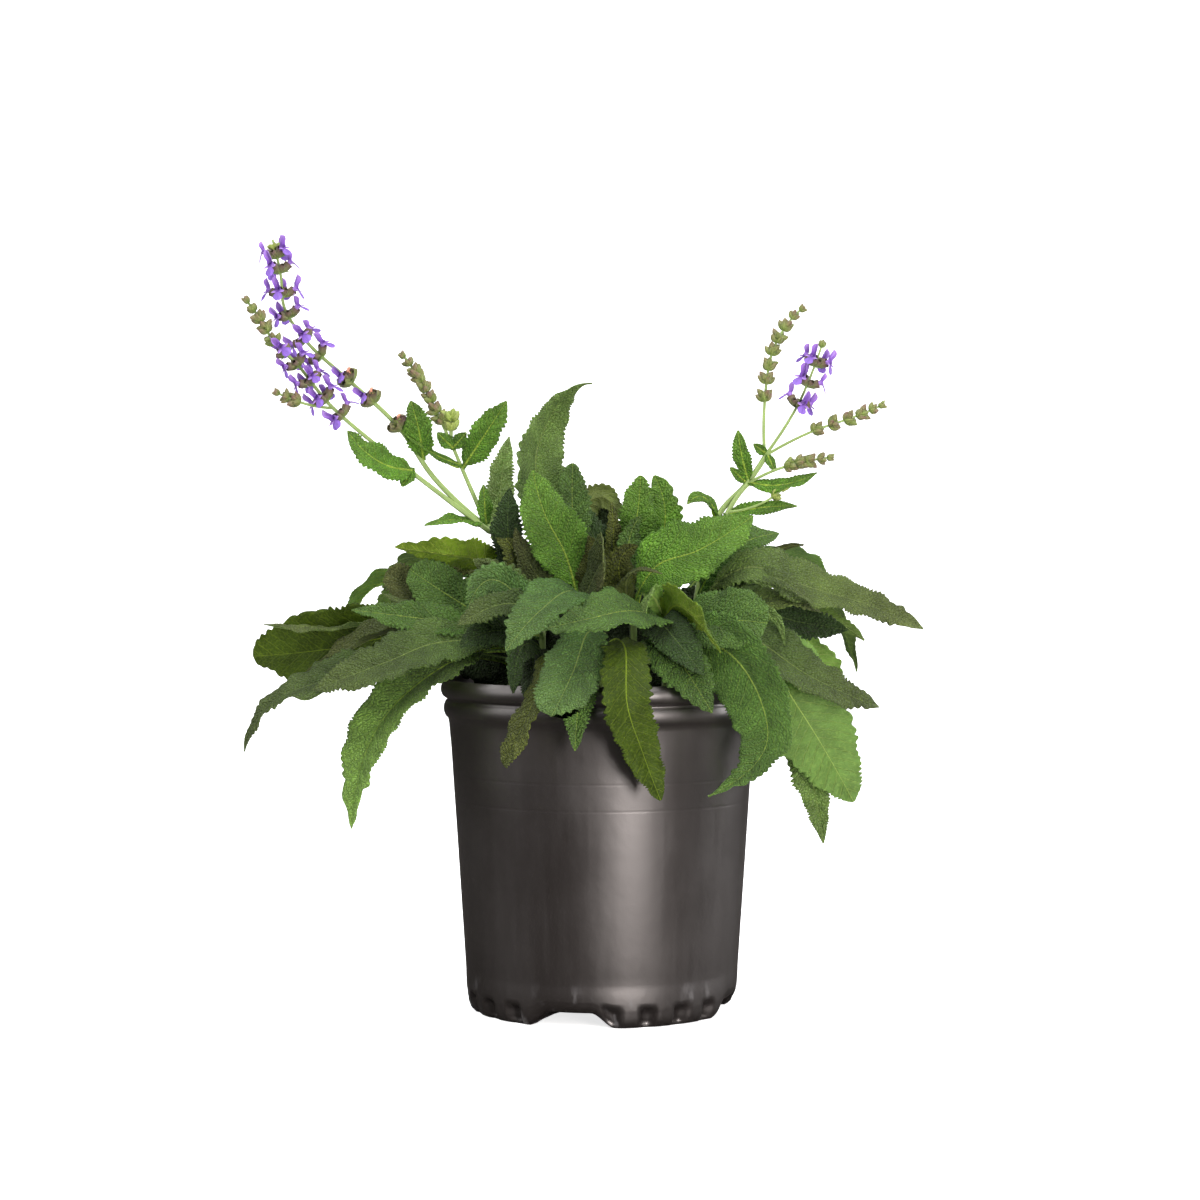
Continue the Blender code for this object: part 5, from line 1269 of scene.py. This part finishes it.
def open_flower(place, ahead, out, size, draw):
    """Ribbed calyx, tube, arched hood, lower lip with a broad middle lobe, and a style."""
    way = unit(out + ahead * draw.uniform(0.45, 0.8))
    side, up = frame_on_stem(way, ahead)
    calyx = CALYX_LENGTH * size
    mouth = place + way * (calyx - 1.2)
    throat = mouth + way * 2.4
    made = [bell(place, way, up, calyx, OPEN_CALYX, (CALYX_GREEN, CALYX_PURPLE), 0.14),
            bell(mouth, way, up, 3.4, TUBE, (VIOLET_LIGHT, VIOLET), 0, 8)]
    lean = draw.uniform(-0.2, 0.2)
    hood = HOOD_LENGTH * size * draw.uniform(0.85, 1.1)
    steps = np.linspace(0, 1, 8)
    arch = []
    for t in steps:
        forward = way * (0.62 * math.sin(2.0 * t) + 0.1 * t)
        rise = up * (0.15 + 0.95 * t - 0.25 * t * t) * (t > 0)
        arch.append(throat + up * 0.4 + (forward + rise + side * lean * t) * hood)
    made.append(petal(arch, [size * w for w in HOOD_WIDTHS], side, unit(up - way * 0.6), -0.75,
                      (VIOLET, VIOLET_LIGHT), PETAL_SLOT))
    lip_way = unit(out * 0.85 - ahead * draw.uniform(0.3, 0.7))
    fall = np.cross(side, lip_way)
    lip = [throat - up * 0.8 + (lip_way * t * 1.1 - fall * 0.5 * t * t) * LIP_LENGTH * size for t in steps]
    made.append(petal(lip, [size * w for w in LIP_WIDTHS], side, fall, -0.16, (VIOLET, LIP_VIOLET),
                      PETAL_SLOT))
    for hand in (-1, 1):
        lobe = [throat - up * 0.4 + (lip_way * t * 0.7 + side * hand * (0.2 + 0.75 * t)) * LOBE_LENGTH * size
                for t in steps]
        across = unit(np.cross(lobe[-1] - lobe[0], fall))
        made.append(petal(lobe, [size * w for w in LOBE_WIDTHS], across, fall, -0.2, (VIOLET, VIOLET_LIGHT),
                          PETAL_SLOT))
    style = [arch[5], arch[6] + up * 0.3, arch[7] + way * 1.4 + up * 0.2]
    made.append(square_tube(style, 0.16, 0.1, 4, STYLE_VIOLET, 4))
    return made


def closed_whorl(place, ahead, start, count, kind, size, draw):
    """A ring of closed calyces or buds, standing up and out in two tiers."""
    made = []
    bud = kind in ("bud", "green")
    shape, length, dark = (BUD, BUD_LENGTH, BUD_BROWN) if bud else (CLOSED_CALYX, CALYX_LENGTH, CALYX_PURPLE)
    base = BUD_GREEN if kind == "green" else CALYX_GREEN
    for k in range(2 * count + 2):
        out = round_stem(ahead, start, 2 * math.pi * k / (2 * count + 2) + draw.uniform(-0.2, 0.2))
        way = unit(out + ahead * (draw.uniform(0.5, 1.5) + 0.7 * (size < 0.8)))
        up = unit(np.cross(np.cross(way, ahead), way))
        brown = draw.uniform(0, 0.2) if kind == "green" else draw.uniform(0.3, 1.2)
        tip = tuple(np.array(base) * (1 - brown) + np.array(dark) * brown)
        tier = (k % 2) * (1.9 if bud and size == 1 else 0.8)
        made.append(bell(place - ahead * tier, way, up, length * size * draw.uniform(0.85, 1.12),
                         [radius * size for radius in shape], (base, tip), 0.3, 12))
    return made


def spent_flower(place, ahead, out, draw):
    """A withered flower: its petals have shrunk to a twisted orange scrap in the calyx."""
    way = unit(out + ahead * 0.8)
    side, up = frame_on_stem(way, ahead)
    mouth = place + way * CALYX_LENGTH * 0.8
    scrap = []
    for t in np.linspace(0, 1, 6):
        curl = up * 1.6 * math.sin(3 * t)
        scrap.append(mouth + way * 4.5 * t + curl + side * 0.8 * math.sin(5 * t + draw.uniform(0, 2)))
    return [bell(place, way, up, CALYX_LENGTH * 1.1, SPENT_CALYX, (CALYX_GREEN, CALYX_PURPLE), 0.14),
            petal(scrap, SCRAP_WIDTHS, side, up, -0.6, (SPENT, SPENT_TIP), STEM_SLOT)]


def bracts(place, ahead, start, size):
    """Two pointed oval bracts under a whorl."""
    made = []
    for hand in (-1, 1):
        out = unit(start * hand + ahead * 0.35)
        side, up = frame_on_stem(out, ahead)
        path = [place - ahead * 0.6 + (out * t - up * 0.25 * t * t) * size for t in np.linspace(0, 1, 6)]
        made.append(petal(path, [w * size for w in BRACT_WIDTHS], side, up, 0.15, (CALYX_GREEN, BRACT_TIP),
                          STEM_SLOT))
    return made


def whorls_along(key, points, draw):
    """Every flower, calyx, bud and bract along one branch."""
    line = smooth_line(points, BRANCH_STEPS)
    below = length_of(line) - np.concatenate([[0], np.cumsum(np.linalg.norm(np.diff(line, axis=0), axis=1))])
    rings = [(kind, count, distance) for kind, count, distances in WHORLS[key] for distance in distances]
    made = []
    for number, (kind, count, distance) in enumerate(rings):
        index = int(np.argmin(np.abs(below - distance)))
        place = line[index]
        ahead = unit(line[min(index + 3, BRANCH_STEPS - 1)] - line[max(index - 3, 0)])
        across = unit(np.cross(ahead, STEM_FACE))
        start = np.array(Matrix.Rotation(WHORL_TWIST * number, 3, Vector(ahead)) @ Vector(across))
        size = 0.62 if distance < 4 else 0.8 if distance < 10 else 1.0
        if key == "left_green_bud":
            size = GREEN_BUD_SIZE
        made += bracts(place, ahead, np.cross(ahead, start), 5.4 if kind in ("open", "few") else 3.8 * size)
        if kind != "open":
            made += closed_whorl(place, ahead, start, count, kind, size, draw)
        if kind == "few":
            made += open_flower(place, ahead, np.array((-0.5, -0.8, 0.2)), 1.0, draw)
        if kind in ("few", "spent"):
            made += spent_flower(place, ahead, np.array((0.6, -0.7, 0.3)), draw)
        for k in range(count if kind == "open" else 0):
            turn = 2 * math.pi * k / count
            out = round_stem(ahead, start, turn)
            open_size = 1 + 0.04 * ((number * 3 + k * 5) % 4 - 1.5)
            made += open_flower(place + out * 0.25, ahead, out, open_size, draw)
            way = unit(round_stem(ahead, start, turn + math.pi / count) + ahead * 0.8)
            made.append(bell(place, way, unit(np.cross(np.cross(way, ahead), way)), CALYX_LENGTH * 0.85,
                             YOUNG_CALYX, (CALYX_GREEN, CALYX_PURPLE), 0.14, 10))
    return made


def petal_material():
    """Thin violet petal: light passes through it, and fine veins run its length."""
    material, tree, shader = new_material("violet_petal", 0.5, Specular_IOR_Level=0.3, Sheen_Weight=0.15)
    streaks = node_noise(tree, laid_out(tree), 5, 3, (0.4, 3, 1))
    colour = tinted(tree, painted(tree, "tint"), node_range(tree, streaks, 0.3, 0.7, 0.82, 1.15))
    tree.links.new(colour, shader.inputs["Base Color"])
    bump(tree, shader, streaks, 0.3, 0.0002)
    let_light_through(tree, shader, colour, 0.4)
    return material


violet_petal = petal_material()
for hand in ("left", "right"):
    piece = "flower_" + hand
    node = "flowering_stem_" + hand
    draw = random.Random(WHORL_SEED)
    solids = []
    for key, (foot, tip, points) in BRANCHES[piece].items():
        count = int(length_of(smooth_line(points, 40)) / 2.5) + 4
        above_soil = points
        if points[0][2] < STEM_SEEN_FROM:
            above_soil = [(*points[0][:2], STEM_SEEN_FROM)] + points[1:]
        solids.append(square_tube(above_soil, foot, tip, count, STEM_GREEN))
        if key in WHORLS:
            solids += whorls_along(key, points, draw)
    for index, (owner, width, face, points) in enumerate(STEM_LEAVES):
        if owner == piece:
            leaf = new_leaf(piece, 0, width, face, "bright", index * STEM_LEAF_PHASE, points,
                            stalk=0.06, fold=14, blunt=0.75, tooth=0.75)
            solids.append(fine_blade(leaf, STEM_LEAF_PITCH))
    solids += [fine_blade(leaf) for leaf in leaves if leaf["piece"] == piece]
    stem = add_piece("salvia_stem_" + hand, joined_mesh(node, solids),
                     [leaf_upper, leaf_under, green_stem, violet_petal])
    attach(stem, "root")
    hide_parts(node)


# Floor, backdrop, lights and camera
# A plain white studio: a floor that curves up behind into a wall, soft boxes above and to the sides,
# and the camera level with the plant, at the photograph's distance.

FLOOR_HALF = 4.0
FLOOR_BACK = 2.2
FLOOR_CURVE = 1.0
WALL_TOP = 4.0
FLOOR_GLOW = 0.75
SKY_LIGHT = 0.07
CAMERA_PLACE = (-0.001, -1.45, 0.248)
CAMERA_AIM = (-0.001, 0, 0.209)
CAMERA_LENS = 85
CAMERA_SENSOR = 36


def studio_white():
    """White paper: it glows a little for the camera, and reflections in the pot see it darker than it is."""
    material, tree, paper = new_material("studio_white", 0.9, Specular_IOR_Level=0.1,
                                         Base_Color=(0.92, 0.92, 0.92, 1))
    dark = tree.nodes.new("ShaderNodeBsdfDiffuse")
    dark.inputs["Color"].default_value = (0.05, 0.046, 0.043, 1)
    glow = tree.nodes.new("ShaderNodeEmission")
    glow.inputs["Strength"].default_value = FLOOR_GLOW
    glowing = tree.nodes.new("ShaderNodeAddShader")
    tree.links.new(paper.outputs[0], glowing.inputs[0])
    tree.links.new(glow.outputs[0], glowing.inputs[1])
    ray = tree.nodes.new("ShaderNodeLightPath").outputs
    unlit = mixed_shader(tree, ray["Is Glossy Ray"], paper, dark)
    seen = mixed_shader(tree, ray["Is Camera Ray"], unlit, glowing)
    tree.links.new(seen.outputs[0], tree.nodes["Material Output"].inputs["Surface"])
    return material


def studio_floor():
    rows = [(-FLOOR_HALF, 0.0)]
    for i in range(13):
        turn = math.pi / 2 * i / 12
        rows.append((FLOOR_BACK + FLOOR_CURVE * math.sin(turn), FLOOR_CURVE * (1 - math.cos(turn))))
    rows.append((FLOOR_BACK + FLOOR_CURVE, WALL_TOP))
    points = [(x, y, z) for y, z in rows for x in (-FLOOR_HALF, FLOOR_HALF)]
    faces = [(2 * i, 2 * i + 1, 2 * i + 3, 2 * i + 2) for i in range(len(rows) - 1)]
    mesh = bpy.data.meshes.new("studio_floor")
    mesh.from_pydata(points, [], faces)
    mesh.shade_smooth()
    return add_piece("studio_floor", mesh, [studio_white()])


def aimed(made, place, aim):
    """Puts a lamp or the camera in its place, turned to what it looks at."""
    bpy.context.scene.collection.objects.link(made)
    made.location = place
    made.rotation_euler = (Vector(aim) - Vector(place)).to_track_quat("-Z", "Y").to_euler()


def soft_box(name, place, aim, size, power, colour=(1, 1, 1)):
    lamp = bpy.data.lights.new(name, "AREA")
    lamp.shape = "RECTANGLE"
    lamp.size, lamp.size_y = size
    lamp.energy = power
    lamp.color = colour
    aimed(bpy.data.objects.new(name, lamp), place, aim)


def studio_sky():
    """White for the camera, and a dim fill for everything else."""
    world = bpy.data.worlds.new("studio")
    world.use_nodes = True
    tree = world.node_tree
    dim = tree.nodes["Background"]
    white = tree.nodes.new("ShaderNodeBackground")
    for sky, strength in ((dim, SKY_LIGHT), (white, 1.0)):
        sky.inputs["Color"].default_value = (1, 1, 1, 1)
        sky.inputs["Strength"].default_value = strength
    seen = mixed_shader(tree, tree.nodes.new("ShaderNodeLightPath").outputs["Is Camera Ray"], dim, white)
    tree.links.new(seen.outputs[0], tree.nodes["World Output"].inputs["Surface"])
    return world


studio_floor()
soft_box("key_strip", (0.36, -0.92, 0.25), (0, 0, 0.10), (0.20, 0.48), 9.5, (1, 0.955, 0.93))
soft_box("top_box", (-0.1, -0.45, 1.5), (0, 0, 0.2), (1.3, 1.1), 28)
soft_box("front_fill", (-0.45, -1.9, 1.5), (0, 0, 0.2), (1.2, 0.8), 18)
soft_box("left_box", (-1.5, -0.25, 0.8), (0, 0, 0.2), (0.9, 1.2), 7)
soft_box("right_box", (1.4, 0.3, 0.45), (0, 0, 0.15), (0.9, 0.8), 10)
soft_box("backdrop_left", (-1.8, 1.2, 1.9), (0, 2.9, 0.8), (1.2, 1.2), 34)
soft_box("backdrop_right", (1.8, 1.2, 1.9), (0, 2.9, 0.8), (1.2, 1.2), 34)

bpy.context.scene.world = studio_sky()
bpy.context.scene.view_settings.view_transform = "Standard"

camera = bpy.data.objects.new("camera", bpy.data.cameras.new("camera"))
camera.data.lens = CAMERA_LENS
camera.data.sensor_width = CAMERA_SENSOR
aimed(camera, CAMERA_PLACE, CAMERA_AIM)
bpy.context.scene.camera = camera
